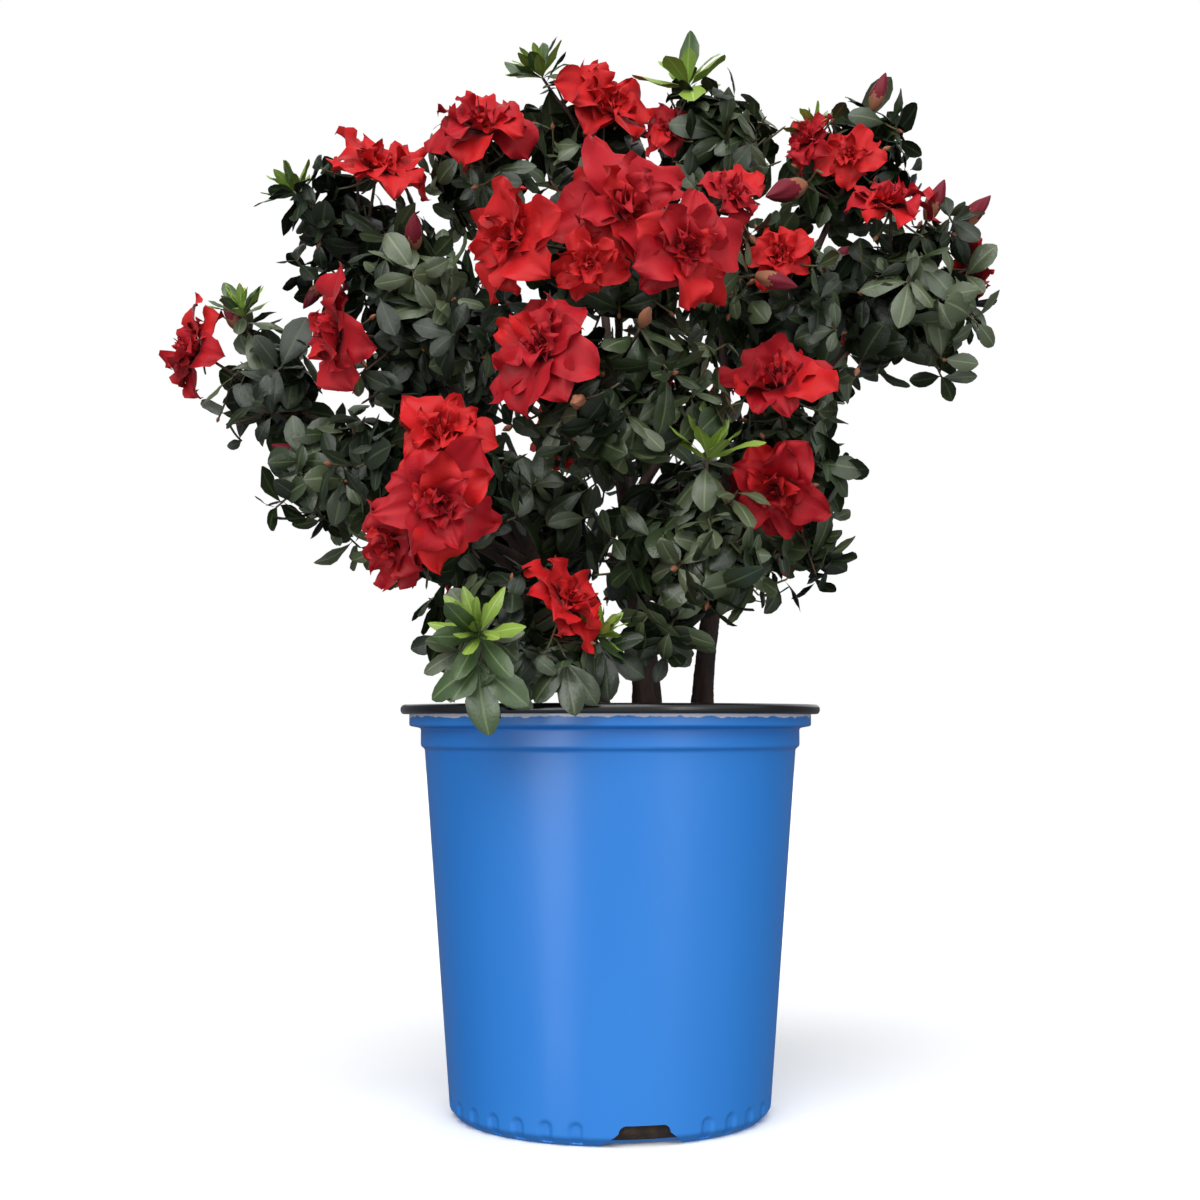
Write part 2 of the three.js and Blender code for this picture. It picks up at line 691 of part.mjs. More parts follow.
// The twigs leave the stem in the order in which their tips come along it, so that they don't
// cross, and each root is sunk in its own side of the stem.
function rootedInOrder(twigs, stem) {
  const axis = stem.top.clone().sub(stem.start).normalize();
  const order = twigs.slice().sort((a, b) => a.tip.dot(axis) - b.tip.dot(axis));
  return twigs.map((twig) => {
    const rank = order.indexOf(twig) / (order.length - 1);
    const root = stem.start.clone().lerp(stem.top, mix(MASS_STEM.firstRoot, MASS_STEM.lastRoot, rank));
    const outwards = twig.tip.clone().sub(root).projectOnPlane(axis).setLength(MASS_STEM.rootOffset);
    return { ...twig, root: root.add(outwards) };
  });
}

// Every twig of the mass with its root, its tip, what it carries and its own random numbers.
function twigPlan(mass, stem, seed) {
  const plan = [];
  const kinds = { bloom: mass.blooms, bud: mass.buds, shoot: mass.shoots };
  for (const [kind, rows] of Object.entries(kinds)) {
    for (const [bearing, rise, share, size] of rows) {
      const direction = compass(bearing, rise);
      plan.push({ kind, direction, tip: tipAt(mass, direction, share), size });
    }
  }
  const random = seeded(seed);
  const turn = random() * 2 * Math.PI;
  const axes = axesAlong(stem.top.clone().sub(stem.start).normalize());
  for (let i = 0; i < mass.twigs; i += 1) {
    const direction = spreadDirection(axes, i, mass.twigs, turn);
    const tip = tipAt(mass, direction, mix(TWIG.shortest, TWIG.longest, random()));
    plan.push({ kind: 'leaves', direction, tip });
  }
  return rootedInOrder(plan, stem).map((twig, i) => ({ ...twig, random: seeded(seed * 100 + i) }));
}

function growMass(name, mass, seed, beads, balls) {
  const stem = massStem(mass, limbs.find((limb) => limb.name === `bough_${name}`));
  const space = new Space(mass, beads, balls);
  const twigs = twigPlan(mass, stem, seed).filter(({ kind, root, tip }) => {
    const run = spacedPoints([root, tip], BEAD_STEP);
    return space.clearOfLimbs(run) && (kind === 'bloom' || space.clearOfNeighbours(run, { tip }));
  });
  space.take(spacedPoints([stem.start, stem.top], BEAD_STEP));
  twigs.forEach((twig) => {
    const end = twig.kind === 'bud' ? at(twig.tip, twig.direction, twig.size) : twig.tip;
    space.take(spacedPoints([twig.root, twig.tip, end], BEAD_STEP), twig);
  });
  const skins = twigs.map((twig) => twigSkin(twig, space).geometry());
  const solids = [massStemGeometry(stem), ...skins].map(toSolid);
  return largestPiece(wasm.Manifold.union(solids).simplify(SMALLEST_DETAIL));
}

// ---- materials and assembly ---------------------------------------------------------------------

const material = (color, roughness) => new THREE.MeshStandardMaterial({ color, roughness, metalness: 0 });
const MATERIALS = {
  pot: material(0x3f7fd0, 0.42),
  mix: material(0x33241a, 0.95),
  bark: material(0x3b2a20, 0.85),
  foliage: material(0x2c4433, 0.55),
  blossom: material(0xb8161f, 0.6),
};

const azalea = new THREE.Group();

function addMesh(name, geometry, look) {
  const mesh = new THREE.Mesh(geometry, look);
  mesh.name = name;
  azalea.add(mesh);
}

addMesh('pot', pot(), MATERIALS.pot);
addMesh('potting_mix', pottingMix(), MATERIALS.mix);

Object.entries(STEMS).forEach(([name, stem]) => addStem(name, stem));
Object.entries(MASSES).forEach(([name, mass]) => addBough(name, mass));
limbs.forEach((limb) => addMesh(limb.name, toGeometry(limb.solid), MATERIALS.bark));

const beads = limbBeads();
const balls = bloomBalls();
Object.entries(MASSES).forEach(([name, mass], i) => {
  const solid = growMass(name, mass, FIRST_SEED + i, beads, balls);
  addMesh(`foliage_${name}`, toGeometry(solid), name === 'front_top' ? MATERIALS.blossom : MATERIALS.foliage);
});

export default azalea;
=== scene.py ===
# Azalea shrub with double red blooms in its nursery pot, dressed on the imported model.
import json
import math

import bpy
import numpy as np
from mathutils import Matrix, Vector, noise

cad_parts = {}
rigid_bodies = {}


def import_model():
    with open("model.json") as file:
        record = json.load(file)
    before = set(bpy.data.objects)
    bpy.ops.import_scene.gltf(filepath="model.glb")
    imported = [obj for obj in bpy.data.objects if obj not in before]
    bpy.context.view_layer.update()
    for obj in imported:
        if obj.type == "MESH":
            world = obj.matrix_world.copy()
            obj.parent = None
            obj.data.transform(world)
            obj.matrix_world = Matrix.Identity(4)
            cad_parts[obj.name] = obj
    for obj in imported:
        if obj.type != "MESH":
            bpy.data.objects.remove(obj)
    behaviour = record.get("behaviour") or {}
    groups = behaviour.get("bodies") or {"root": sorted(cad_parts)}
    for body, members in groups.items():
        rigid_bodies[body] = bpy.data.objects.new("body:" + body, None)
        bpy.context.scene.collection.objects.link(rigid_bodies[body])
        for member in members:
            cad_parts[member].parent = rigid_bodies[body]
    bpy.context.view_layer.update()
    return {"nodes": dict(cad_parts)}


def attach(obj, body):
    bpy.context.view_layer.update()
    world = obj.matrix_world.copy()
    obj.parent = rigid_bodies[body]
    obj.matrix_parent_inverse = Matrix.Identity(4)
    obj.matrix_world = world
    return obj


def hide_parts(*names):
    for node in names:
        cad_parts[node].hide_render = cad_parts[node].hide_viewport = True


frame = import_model()
print("frame loaded:", len(frame["nodes"]), "nodes")

mm = 0.001  # everything below is worked out in millimetres
up = np.array([0.0, 0.0, 1.0])
goldenAngle = math.pi * (3 - math.sqrt(5))


# small helpers

def seeded(seed):
    # numbers from 0 to 1, the same row as the model's own rule draws
    state = seed & 0xFFFFFFFF

    def draw():
        nonlocal state
        state = (state + 0x6D2B79F5) & 0xFFFFFFFF
        t = ((state ^ (state >> 15)) * (1 | state)) & 0xFFFFFFFF
        t = ((t + (((t ^ (t >> 7)) * (61 | t)) & 0xFFFFFFFF)) & 0xFFFFFFFF) ^ t
        return (t ^ (t >> 14)) / 4294967296

    return draw


def mix(a, b, share):
    return a + (b - a) * share


def unit(v):
    return v / np.linalg.norm(v)


def compass(bearing, rise):
    turn, lift = math.radians(bearing), math.radians(rise)
    level = math.cos(lift)
    return np.array([math.sin(turn) * level, -math.cos(turn) * level, math.sin(lift)])


def axesAlong(direction, before=None):
    # u and v across the direction; a turned set stays near the old one
    if before is None:
        helper = up if abs(direction[2]) < 0.9 else np.array([1.0, 0.0, 0.0])
        u = unit(np.cross(helper, direction))
    else:
        u = unit(before[0] - direction * before[0].dot(direction))
    return u, np.cross(direction, u), direction


def pointOn(origin, axes, radius, angle, height=0.0):
    u, v, w = axes
    return origin + radius * (math.cos(angle) * u + math.sin(angle) * v) + height * w


def goldenWays(axis, count, lowest, turn):
    # directions spread evenly round an axis, from its tip down to lowest
    axes = axesAlong(axis)
    for i in range(count):
        height = mix(1, lowest, (i + 0.5) / count)
        yield pointOn(np.zeros(3), axes, math.sqrt(1 - height * height), i * goldenAngle + turn, height)


def spacedPoints(corners, step=4):
    points = []
    for a, b in zip(corners[:-1], corners[1:]):
        count = math.ceil(np.linalg.norm(b - a) / step) or 1
        points += [mix(a, b, k / count) for k in range(count + 1)]
    return np.array(points)


def rgb(red, green, blue):
    # screen colour 0-255 to linear
    def linear(c):
        c /= 255
        return c / 12.92 if c <= 0.04045 else ((c + 0.055) / 1.055) ** 2.4
    return (linear(red), linear(green), linear(blue), 1.0)


def grey(value):
    return (value, value, value, 1.0)


# meshes joined from many parts

def newHeap():
    return {"points": [], "quads": [], "paints": [], "count": 0}


def addTo(heap, points, quads, paints=0):
    heap["points"].append(points)
    heap["quads"].append(quads + heap["count"])
    heap["paints"].append(np.full(len(quads), paints) if np.isscalar(paints) else paints)
    heap["count"] += len(points)


def linked(name, data):
    made = bpy.data.objects.new(name, data)
    bpy.context.scene.collection.objects.link(made)
    return made


def newForm(name, points, faces):
    mesh = bpy.data.meshes.new(name)
    mesh.from_pydata((np.array(points) * mm).tolist(), [], faces)
    return linked(name, mesh)


def pieceFrom(heap, name, materials, nodes):
    quads = np.concatenate(heap["quads"])
    piece = newForm(name, np.concatenate(heap["points"]), quads.tolist())
    mesh = piece.data
    for material in materials:
        mesh.materials.append(material)
    mesh.polygons.foreach_set("material_index", np.concatenate(heap["paints"]).astype(np.int32))
    mesh.polygons.foreach_set("use_smooth", np.ones(len(quads), bool))
    mesh.update()
    dress(piece, nodes)


def dress(piece, nodes):
    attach(piece, "root")
    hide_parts(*nodes)
    piece.data.calc_loop_triangles()
    print(piece.name, "triangles:", len(piece.data.loop_triangles))


def gridQuads(rows, columns, closed=False):
    # quads over a grid of points, row after row; closed joins the last column to the first
    quads = []
    for r in range(rows - 1):
        for c in range(columns if closed else columns - 1):
            d = (c + 1) % columns
            low, high = r * columns, (r + 1) * columns
            quads.append((low + c, low + d, high + d, high + c))
    return np.array(quads)


tubeEnd = {"beyond": 0.2, "radius": 0.04}  # how a tube closes, as shares of its last step and radius


def tube(points, radii, sides, relief=None):
    # closed tube; relief(point, angle, radius) gives the radius at each corner
    points = np.array(points)
    points = np.vstack([points[:1], points, points[-1:] + (points[-1:] - points[-2:-1]) * tubeEnd["beyond"]])
    radii = np.concatenate([[radii[0] * tubeEnd["radius"]], radii, [radii[-1] * tubeEnd["radius"]]])
    along = np.gradient(points[1:-1], axis=0)
    along = np.vstack([along[:1], along, along[-1:]])
    axes = axesAlong(unit(along[0]))
    angles = np.arange(sides) * 2 * math.pi / sides
    rings = []
    for point, radius, direction in zip(points, radii, along):
        axes = axesAlong(unit(direction), axes)
        spread = np.outer(np.cos(angles), axes[0]) + np.outer(np.sin(angles), axes[1])
        reach = np.full(sides, radius)
        if relief:
            reach = np.array([relief(point + radius * s, a, radius) for s, a in zip(spread, angles)])
        rings.append(point + spread * reach[:, None])
    return np.concatenate(rings), gridQuads(len(points), sides, True)


# materials

def plug(owner, node, **sockets):
    # a value is set on its socket, and an output is linked to it
    tree = owner.node_tree
    node = tree.nodes[node] if isinstance(node, str) else node
    for name, value in sockets.items():
        socket = node.inputs[name.replace("_", " ")]
        if isinstance(value, bpy.types.NodeSocket):
            tree.links.new(value, socket)
        else:
            socket.default_value = value
    return node


def newNode(owner, kind, **sockets):
    return plug(owner, owner.node_tree.nodes.new("ShaderNode" + kind), **sockets)


def noiseFor(material, scale, detail=4.0, stretch=(1, 1, 1)):
    place = newNode(material, "TexCoord").outputs["Object"]
    stretched = newNode(material, "Mapping", Vector=place, Scale=stretch).outputs["Vector"]
    return newNode(material, "TexNoise", Vector=stretched, Scale=scale, Detail=detail).outputs["Fac"]


def rampFrom(owner, output, stops):
    ramp = newNode(owner, "ValToRGB", Fac=output)
    elements = ramp.color_ramp.elements
    elements[0].position, elements[0].color = stops[0]
    elements[1].position, elements[1].color = stops[-1]
    for position, colour in stops[1:-1]:
        elements.new(position).color = colour
    return ramp.outputs["Color"]


def mottled(material, scale, stops, detail=5.0, stretch=(1, 1, 1)):
    return rampFrom(material, noiseFor(material, scale, detail, stretch), stops)


def glossed(material, scale, low, high, stretch=(1, 1, 1)):
    return mottled(material, scale, [(0.35, grey(low)), (0.65, grey(high))], 3.0, stretch)


def bumped(material, scale, strength, distance, detail=4.0, stretch=(1, 1, 1)):
    height = noiseFor(material, scale, detail, stretch)
    return newNode(material, "Bump", Strength=strength, Distance=distance, Height=height).outputs["Normal"]


def paint(name, colour, roughness, mottle=None, gloss=None, bump=None, **sockets):
    material = bpy.data.materials.new(name)
    material.use_nodes = True
    coat = {"Base_Color": colour, "Roughness": roughness, **sockets}
    plug(material, "Principled BSDF", **coat)
    for socket, make, values in (("Base_Color", mottled, mottle), ("Roughness", glossed, gloss),
                                 ("Normal", bumped, bump)):
        if values:
            plug(material, "Principled BSDF", **{socket: make(material, *values)})
    return material


# camera, floor and lights

camera = {"place": (-5.6, -1012.0, 213.4), "pitch": 3.86, "lens": 54.3, "sensor": 36.0}
studio = {
    "floorRadius": 7000, "floorDrop": 0.15, "floorRings": 24, "floorSides": 96,
    "floorPaint": rgb(255, 255, 255), "backdrop": grey(1.0), "skyFrom": 0.35, "skyTo": -0.95,
    "skyBehind": (0.16, 0.17, 0.19, 1.0), "skyInFront": (0.74, 0.76, 0.78, 1.0),
    "lamps": {  # bearing from the front, height and softness in degrees, strength
        "keyLamp": (-16, 50, 62, 2.68),
        "fillLamp": (50, 38, 80, 0.6),
        "backLamp": (172, 40, 70, 0.9),
    },
    "boxes": {  # bearing from the front, width, strength; they only show as soft streaks on the pot
        "leftBox": (-34, 560, 12),
        "rightBox": (38, 280, 4),
    },
    "boxDistance": 1400, "boxHeight": 150, "boxTall": 1100,
}


def aimed(name, light, bearing, height):
    lamp = linked(name, light)
    lamp.rotation_euler = Vector(-compass(bearing, height)).to_track_quat("-Z", "Y").to_euler()
    return lamp


def setStage():
    scene, s = bpy.context.scene, studio
    data = bpy.data.cameras.new("camera")
    data.lens, data.sensor_width = camera["lens"], camera["sensor"]
    shot = linked("camera", data)
    shot.location = [c * mm for c in camera["place"]]
    shot.rotation_euler = (math.radians(90 + camera["pitch"]), 0, 0)
    scene.camera = shot
    scene.view_settings.view_transform = "Standard"

    # soft light from a sky that is bright in front and dim behind; the backdrop itself is plain white
    world = bpy.data.worlds.new("studio")
    world.use_nodes = True
    nodes, links = world.node_tree.nodes, world.node_tree.links
    split = newNode(world, "SeparateXYZ", Vector=newNode(world, "TexCoord").outputs["Generated"])
    toFront = newNode(world, "MapRange", Value=split.outputs["Y"], From_Min=s["skyFrom"], From_Max=s["skyTo"])
    stops = [(0, s["skyBehind"]), (1, s["skyInFront"])]
    sky = plug(world, "Background", Color=rampFrom(world, toFront.outputs["Result"], stops))
    backdrop = newNode(world, "Background", Color=s["backdrop"])
    both = newNode(world, "MixShader", Fac=newNode(world, "LightPath").outputs["Is Camera Ray"])
    links.new(sky.outputs["Background"], both.inputs[1])
    links.new(backdrop.outputs["Background"], both.inputs[2])
    links.new(both.outputs["Shader"], nodes["World Output"].inputs["Surface"])
    scene.world = world

    for name, (bearing, height, softness, strength) in s["lamps"].items():
        light = bpy.data.lights.new(name, "SUN")
        light.angle, light.energy = math.radians(softness), strength
        aimed(name, light, bearing, height)
    for name, (bearing, width, strength) in s["boxes"].items():
        light = bpy.data.lights.new(name, "AREA")
        light.shape, light.energy = "RECTANGLE", strength
        light.size, light.size_y = width * mm, s["boxTall"] * mm
        lamp = aimed(name, light, bearing, 0)
        lamp.location = compass(bearing, 0) * s["boxDistance"] * mm + up * s["boxHeight"] * mm
        lamp.visible_diffuse = False

    radii = np.linspace(0.01, 1, s["floorRings"]) ** 2 * s["floorRadius"]
    angles = np.arange(s["floorSides"]) * 2 * math.pi / s["floorSides"]
    points = [(r * math.cos(a), r * math.sin(a), -s["floorDrop"]) for r in radii for a in angles]
    floor = newForm("floor", points, gridQuads(s["floorRings"], s["floorSides"], True).tolist())
    plaster = paint("palePlaster", s["floorPaint"], 0.8, bump=(40, 0.05, 0.002), Specular_IOR_Level=0.2)
    floor.data.materials.append(plaster)
    floor.visible_diffuse = floor.visible_glossy = False  # it throws no light back up at the plant
    print("stage set")


setStage()


# the pot

potShape = {
    "height": 223, "rimRadius": 116.3, "collarRadius": 111.4, "bandRadius": 105,
    "shoulderRadius": 102.8, "footRadius": 88, "footRound": 4.5, "rimHeight": 5.2,
    "collarHeight": 6.5, "bandHeight": 11, "wall": 2, "segments": 540,
}
notches = {
    "count": 3, "firstBearing": 11.2, "width": 41, "topWidth": 27, "height": 11, "depth": 13,
    "corner": 4, "cornerSteps": 6,
}
flutes = {"between": 8, "spacing": 10.6, "width": 7.4, "height": 12.5, "depth": 1.2, "edge": 1.1}
potColours = {
    "blue": rgb(26, 117, 205), "blueWorn": rgb(36, 125, 211), "black": rgb(14, 13, 14),
    "frayed": rgb(214, 214, 226), "frayedHeight": 1.9, "ragged": 4.6, "fade": 0.5,
}


def fluteDepth(angle, radius, height):
    # arched hollows round the foot, none beside the notches
    if height > flutes["height"] + 1:
        return 0.0
    bay = 360 / notches["count"]
    turn = (math.degrees(angle) - notches["firstBearing"]) % bay - bay / 2
    first = -(flutes["between"] - 1) / 2 * flutes["spacing"]
    index = min(max(round((turn - first) / flutes["spacing"]), 0), flutes["between"] - 1)
    aside = math.radians(turn - first - index * flutes["spacing"]) * radius
    half = flutes["width"] / 2
    top = flutes["height"] - half
    edge = half - math.hypot(aside, max(height - top, 0))
    return flutes["depth"] * min(max(edge / flutes["edge"], 0), 1)


def smoothed(profile, corner=1.2, steps=5):
    # rounds the corners of a line of [radius, height]
    points = [np.array(profile[0], float)]
    for before, here, after in zip(profile[:-2], profile[1:-1], profile[2:]):
        before, here, after = (np.array(p, float) for p in (before, here, after))
        reach = min(corner, 0.45 * np.linalg.norm(here - before), 0.45 * np.linalg.norm(after - here))
        a, b = here + unit(before - here) * reach, here + unit(after - here) * reach
        for k in range(steps):
            t = k / (steps - 1)
            points.append(a * (1 - t) ** 2 + here * 2 * t * (1 - t) + b * t ** 2)
    points.append(np.array(profile[-1], float))
    return points


def stepped(profile, longest):
    points = [profile[0]]
    for a, b in zip(profile[:-1], profile[1:]):
        count = max(math.ceil(np.linalg.norm(b - a) / longest(min(a[1], b[1]))), 1)
        points += [mix(a, b, k / count) for k in range(1, count + 1)]
    return points


def turned(profile, segments, change=None):
    # revolves a profile; bearing 0 is the front, growing towards the right
    rows = []
    for radius, height in profile:
        for k in range(segments):
            angle = 2 * math.pi * k / segments
            r = radius - (change(angle, radius, height) if change else 0)
            rows.append((r * math.sin(angle), -r * math.cos(angle), height))
    return np.array(rows), gridQuads(len(profile), segments, True)


def notchCutter(bearing):
    n = notches
    half, corner = n["width"] / 2, n["corner"]
    flat, high = n["topWidth"] / 2 - corner, n["height"] - corner
    outline = [(-half - 3, -3), (half + 3, -3), (half + 1.6, 0), (half, 1.4)]
    for k in range(n["cornerSteps"] + 1):
        a = math.radians(90 * k / n["cornerSteps"])
        outline.append((flat + corner * math.cos(a), high + corner * math.sin(a)))
    outline += [(-x, z) for x, z in reversed(outline[2:])]
    count = len(outline)
    cos, sin = math.cos(math.radians(bearing)), math.sin(math.radians(bearing))
    points = [(x * cos - y * sin, x * sin + y * cos, z)
              for y in (-potShape["footRadius"] - n["depth"], -potShape["footRadius"] + n["depth"])
              for x, z in outline]
    faces = [list(range(count)), list(range(2 * count - 1, count - 1, -1))]
    faces += [[k, k + count, (k + 1) % count + count, (k + 1) % count] for k in range(count)]
    return newForm("notchCutter", points, faces)


def bluePlastic():
    c = potColours
    blue = paint("bluePlastic", c["blue"], 0.36, None, (14, 0.3, 0.42, (1, 1, 0.3)), (900, 0.05, 0.0003),
                 Specular_IOR_Level=0.5)
    soft = mottled(blue, 9, [(0.3, c["blue"]), (0.75, c["blueWorn"])], 3.0, (1, 1, 0.35))
    # frayed pale edge of the coloured skin right under the rim
    split = newNode(blue, "SeparateXYZ", Vector=newNode(blue, "TexCoord").outputs["Object"])
    ragged = newNode(blue, "Math")
    ragged.operation = "MULTIPLY_ADD"
    ragged.inputs[1].default_value = c["ragged"] * mm
    blue.node_tree.links.new(noiseFor(blue, 130, 6.0), ragged.inputs[0])
    blue.node_tree.links.new(split.outputs["Z"], ragged.inputs[2])
    start = potShape["height"] - potShape["rimHeight"] + c["ragged"] / 2 - c["frayedHeight"]
    edge = newNode(blue, "MapRange", Value=ragged.outputs["Value"],
                   From_Min=start * mm, From_Max=(start + c["fade"]) * mm)
    both = newNode(blue, "Mix")
    both.data_type = "RGBA"
    plug(blue, both, Factor=edge.outputs["Result"], A=soft, B=c["frayed"])
    plug(blue, "Principled BSDF", Base_Color=both.outputs["Result"])
    return blue


def makePot():
    p, wall, top = potShape, potShape["wall"], potShape["height"]
    foot, shoulder, band, collar, rim = (
        p[part + "Radius"] for part in ("foot", "shoulder", "band", "collar", "rim"))
    collarTop = top - p["rimHeight"]
    bandTop = collarTop - p["collarHeight"]
    bandBottom = bandTop - p["bandHeight"]
    fluteTop = flutes["height"] + 2.5
    wallShare = (fluteTop - p["footRound"]) / (bandBottom - 1.5 - p["footRound"])

    def lining(inset):
        return [[collar - inset, bandTop + 1.2], [band - inset, bandTop - 1.2],
                [band - inset, bandBottom + 1.2], [shoulder - inset, bandBottom - 1.5]]

    outside = [
        [2, 0], [foot - p["footRound"], 0], [foot, p["footRound"]],
        [mix(foot, shoulder, wallShare), fluteTop], [shoulder, bandBottom - 1.5], [band, bandBottom],
        [band, bandTop - 1.2], [collar, bandTop], [collar, collarTop + 0.3],
    ]
    inside = [[collar - wall, collarTop + 0.3], *lining(wall), [foot - wall, p["footRound"] + wall],
              [foot - p["footRound"] - wall, wall], [2, wall]]
    profile = stepped(smoothed(outside), lambda z: 1 if 0.1 < z < fluteTop - 1 else 12) + smoothed(inside)
    # only the outer wall is fluted
    points, quads = turned(profile, p["segments"], lambda a, r, z: fluteDepth(a, r, z) if r > 84.5 else 0)
    caps = [list(range(p["segments"]))[::-1], list(range(len(points) - p["segments"], len(points)))]
    body = newForm("potBody", points, quads.tolist() + caps)
    for k in range(notches["count"]):
        cut = body.modifiers.new("notch", "BOOLEAN")
        cut.operation, cut.solver = "DIFFERENCE", "MANIFOLD"
        cut.object = notchCutter(notches["firstBearing"] + 360 / notches["count"] * k)
    whole = bpy.data.meshes.new_from_object(body.evaluated_get(bpy.context.evaluated_depsgraph_get()))
    body.modifiers.clear()
    body.data = whole
    for cutter in [o for o in bpy.data.objects if o.name.startswith("notchCutter")]:
        bpy.data.objects.remove(cutter)
    whole.materials.clear()
    whole.materials.append(bluePlastic())
    whole.set_sharp_from_angle(angle=math.radians(50))
    dress(body, ["pot"])

    # the black rim rolls out over the collar and goes on as the pot's black lining
    rolled = [
        [collar - 0.6, collarTop - 0.4], [collar + 0.4, collarTop], [rim - 1, collarTop],
        [rim, collarTop + 1.6], [rim, top - 1.6], [rim - 1.4, top], [collar - wall - 0.4, top],
        [collar - wall - 0.6, top - 3], *lining(wall + 0.6), [shoulder - wall - 0.9, bandBottom - 6],
        [shoulder - wall + 0.1, bandBottom - 6], [shoulder - wall + 0.2, bandBottom - 2],
        *lining(wall - 0.1)[2::-1], [collar - wall + 0.1, collarTop - 0.4],
    ]
    heap = newHeap()
    addTo(heap, *turned(smoothed(rolled + rolled[:1], 0.9, 4), 240))
    black = paint("blackPlastic", potColours["black"], 0.24, None, (20, 0.18, 0.32), (260, 0.08, 0.0004),
                  Specular_IOR_Level=0.55)
    pieceFrom(heap, "potRim", [black], ["pot"])


makePot()


# potting mix

mixShape = {
    "level": 204, "edgeLevel": 202, "flatRadius": 72, "wallGap": 2.6,
    "bark": 900, "grit": 260, "smallest": 2.0, "largest": 6.5, "seed": 31,
}
mixPaints = {  # colours and their scale, roughness, bump
    "peat": ([(0.3, rgb(26, 18, 13)), (0.55, rgb(48, 34, 25)), (0.8, rgb(74, 53, 38))], 160, 0.95,
             (420, 0.8, 0.0015)),
    "barkChips": ([(0.3, rgb(44, 28, 19)), (0.7, rgb(104, 71, 48))], 240, 0.85, (700, 0.5, 0.0006)),
    "paleGrit": ([(0.35, rgb(150, 140, 124)), (0.7, rgb(206, 200, 188))], 500, 0.9, (900, 0.4, 0.0004)),
}


def lumpy(point, scale, amount):
    return noise.noise(Vector(point) * scale) * amount


def makeMix():
    m, p = mixShape, potShape
    gap = m["wallGap"]
    bandBottom = p["height"] - p["rimHeight"] - p["collarHeight"] - p["bandHeight"]
    profile = [
        [1.0, gap], [p["footRadius"] - p["footRound"] - gap, gap],
        [p["footRadius"] - gap, p["footRound"] + gap],
        [p["shoulderRadius"] - gap, bandBottom - 1.5], [p["shoulderRadius"] - gap, m["edgeLevel"]],
        [m["flatRadius"], m["level"]], [1.0, m["level"]],
    ]
    profile = [np.array(q, float) for q in profile]
    points, quads = turned(stepped(profile, lambda z: 2.5 if z > 150 or z < 3 else 12), 160)
    inside = np.hypot(points[:, 0], points[:, 1]) < p["shoulderRadius"] - gap - 1
    for k in np.nonzero(inside & (points[:, 2] > 200))[0]:
        points[k, 2] += lumpy(points[k], 0.09, 1.5) + lumpy(points[k], 0.35, 1.1)
    heap = newHeap()
    addTo(heap, points, quads)

    random = seeded(m["seed"])
    rows, sides = 5, 6
    faces = gridQuads(rows, sides, True)
    for k in range(m["bark"] + m["grit"]):
        radius = math.sqrt(random()) * (p["shoulderRadius"] - gap - 4)
        angle = random() * 2 * math.pi
        gritty = k >= m["bark"]
        size = mix(m["smallest"], m["largest"], random() ** 2) * (0.55 if gritty else 1)
        slope = (m["level"] - m["edgeLevel"]) * max(radius - m["flatRadius"], 0) / 28
        centre = np.array([radius * math.sin(angle), -radius * math.cos(angle), m["level"] - slope + 0.5])
        width = size * mix(0.35, 0.8, random())
        thickness = size * (0.8 if gritty else mix(0.2, 0.45, random()))
        stretch = np.array([size, width, thickness]) / 2
        axes = axesAlong(unit(np.array([random() - 0.5, random() - 0.5, 1.2])))
        spin = random() * 2 * math.pi
        chip = []
        for r in range(rows):
            tilt = math.pi * (0.06 + 0.88 * r / (rows - 1))
            for s in range(sides):
                a = spin + 2 * math.pi * s / sides
                rough = mix(0.75, 1.2, random())
                flat = math.sin(tilt)
                local = np.array([flat * math.cos(a), flat * math.sin(a), -math.cos(tilt)])
                local = local * stretch * rough
                chip.append(centre + local[0] * axes[0] + local[1] * axes[1] + local[2] * axes[2])
        addTo(heap, np.array(chip), faces, 2 if gritty else 1)
    materials = [paint(name, stops[1][1], roughness, mottle=(scale, stops), bump=bump)
                 for name, (stops, scale, roughness, bump) in mixPaints.items()]
    pieceFrom(heap, "pottingMix", materials, ["potting_mix"])


makeMix()


# stems and boughs

clearance = 0.3
stems = {
    "left": {"base": (-4, -13), "tip": (-50, -20, 318), "radius": 6.4, "tipRadius": 4.0},
    "centre": {"base": (19, -5), "tip": (4, -6, 374), "radius": 6.2, "tipRadius": 3.4},
    "back": {"base": (24, 21), "tip": (12, 62, 352), "radius": 6.0, "tipRadius": 3.8},
    "right": {"base": (51, 4), "tip": (66, -6, 340), "radius": 6.0, "tipRadius": 4.3},
}
stemBend = {"lean": 0.28, "straightness": 0.8, "swell": 0.35, "flareHeight": 14}
boughShape = {
    "radius": 3.1, "tipRadius": 1.7, "entry": 0.62, "hang": -0.6, "hangShare": 0.35,
    "leaving": 0.35, "arriving": 0.3, "collar": 0.45, "collarLength": 6,
}
barkRelief = {
    "ring": 1.3, "stemSides": 30, "boughSides": 14, "furrow": 0.07, "lump": 0.11, "grain": 0.9,
    "lumpScale": 0.13, "lumpStretch": 0.6, "lobes": 0.2, "lobeHeight": 7, "seedStep": 1.7,
}


def newMass(stem, fork, centre, reach, twigs, blooms=(), buds=(), shoots=()):
    # the stem its bough leaves and where, its centre and reach, its twigs, and what stands out of it
    # as (bearing, rise, share of the reach, size)
    centre, reach = np.array(centre, float), np.array(reach, float)
    return {"stem": stem, "fork": fork, "centre": centre, "reach": reach, "twigs": twigs, "blooms": blooms,
            "buds": buds, "shoots": shoots, "weight": np.cbrt(reach.prod()) ** 2}


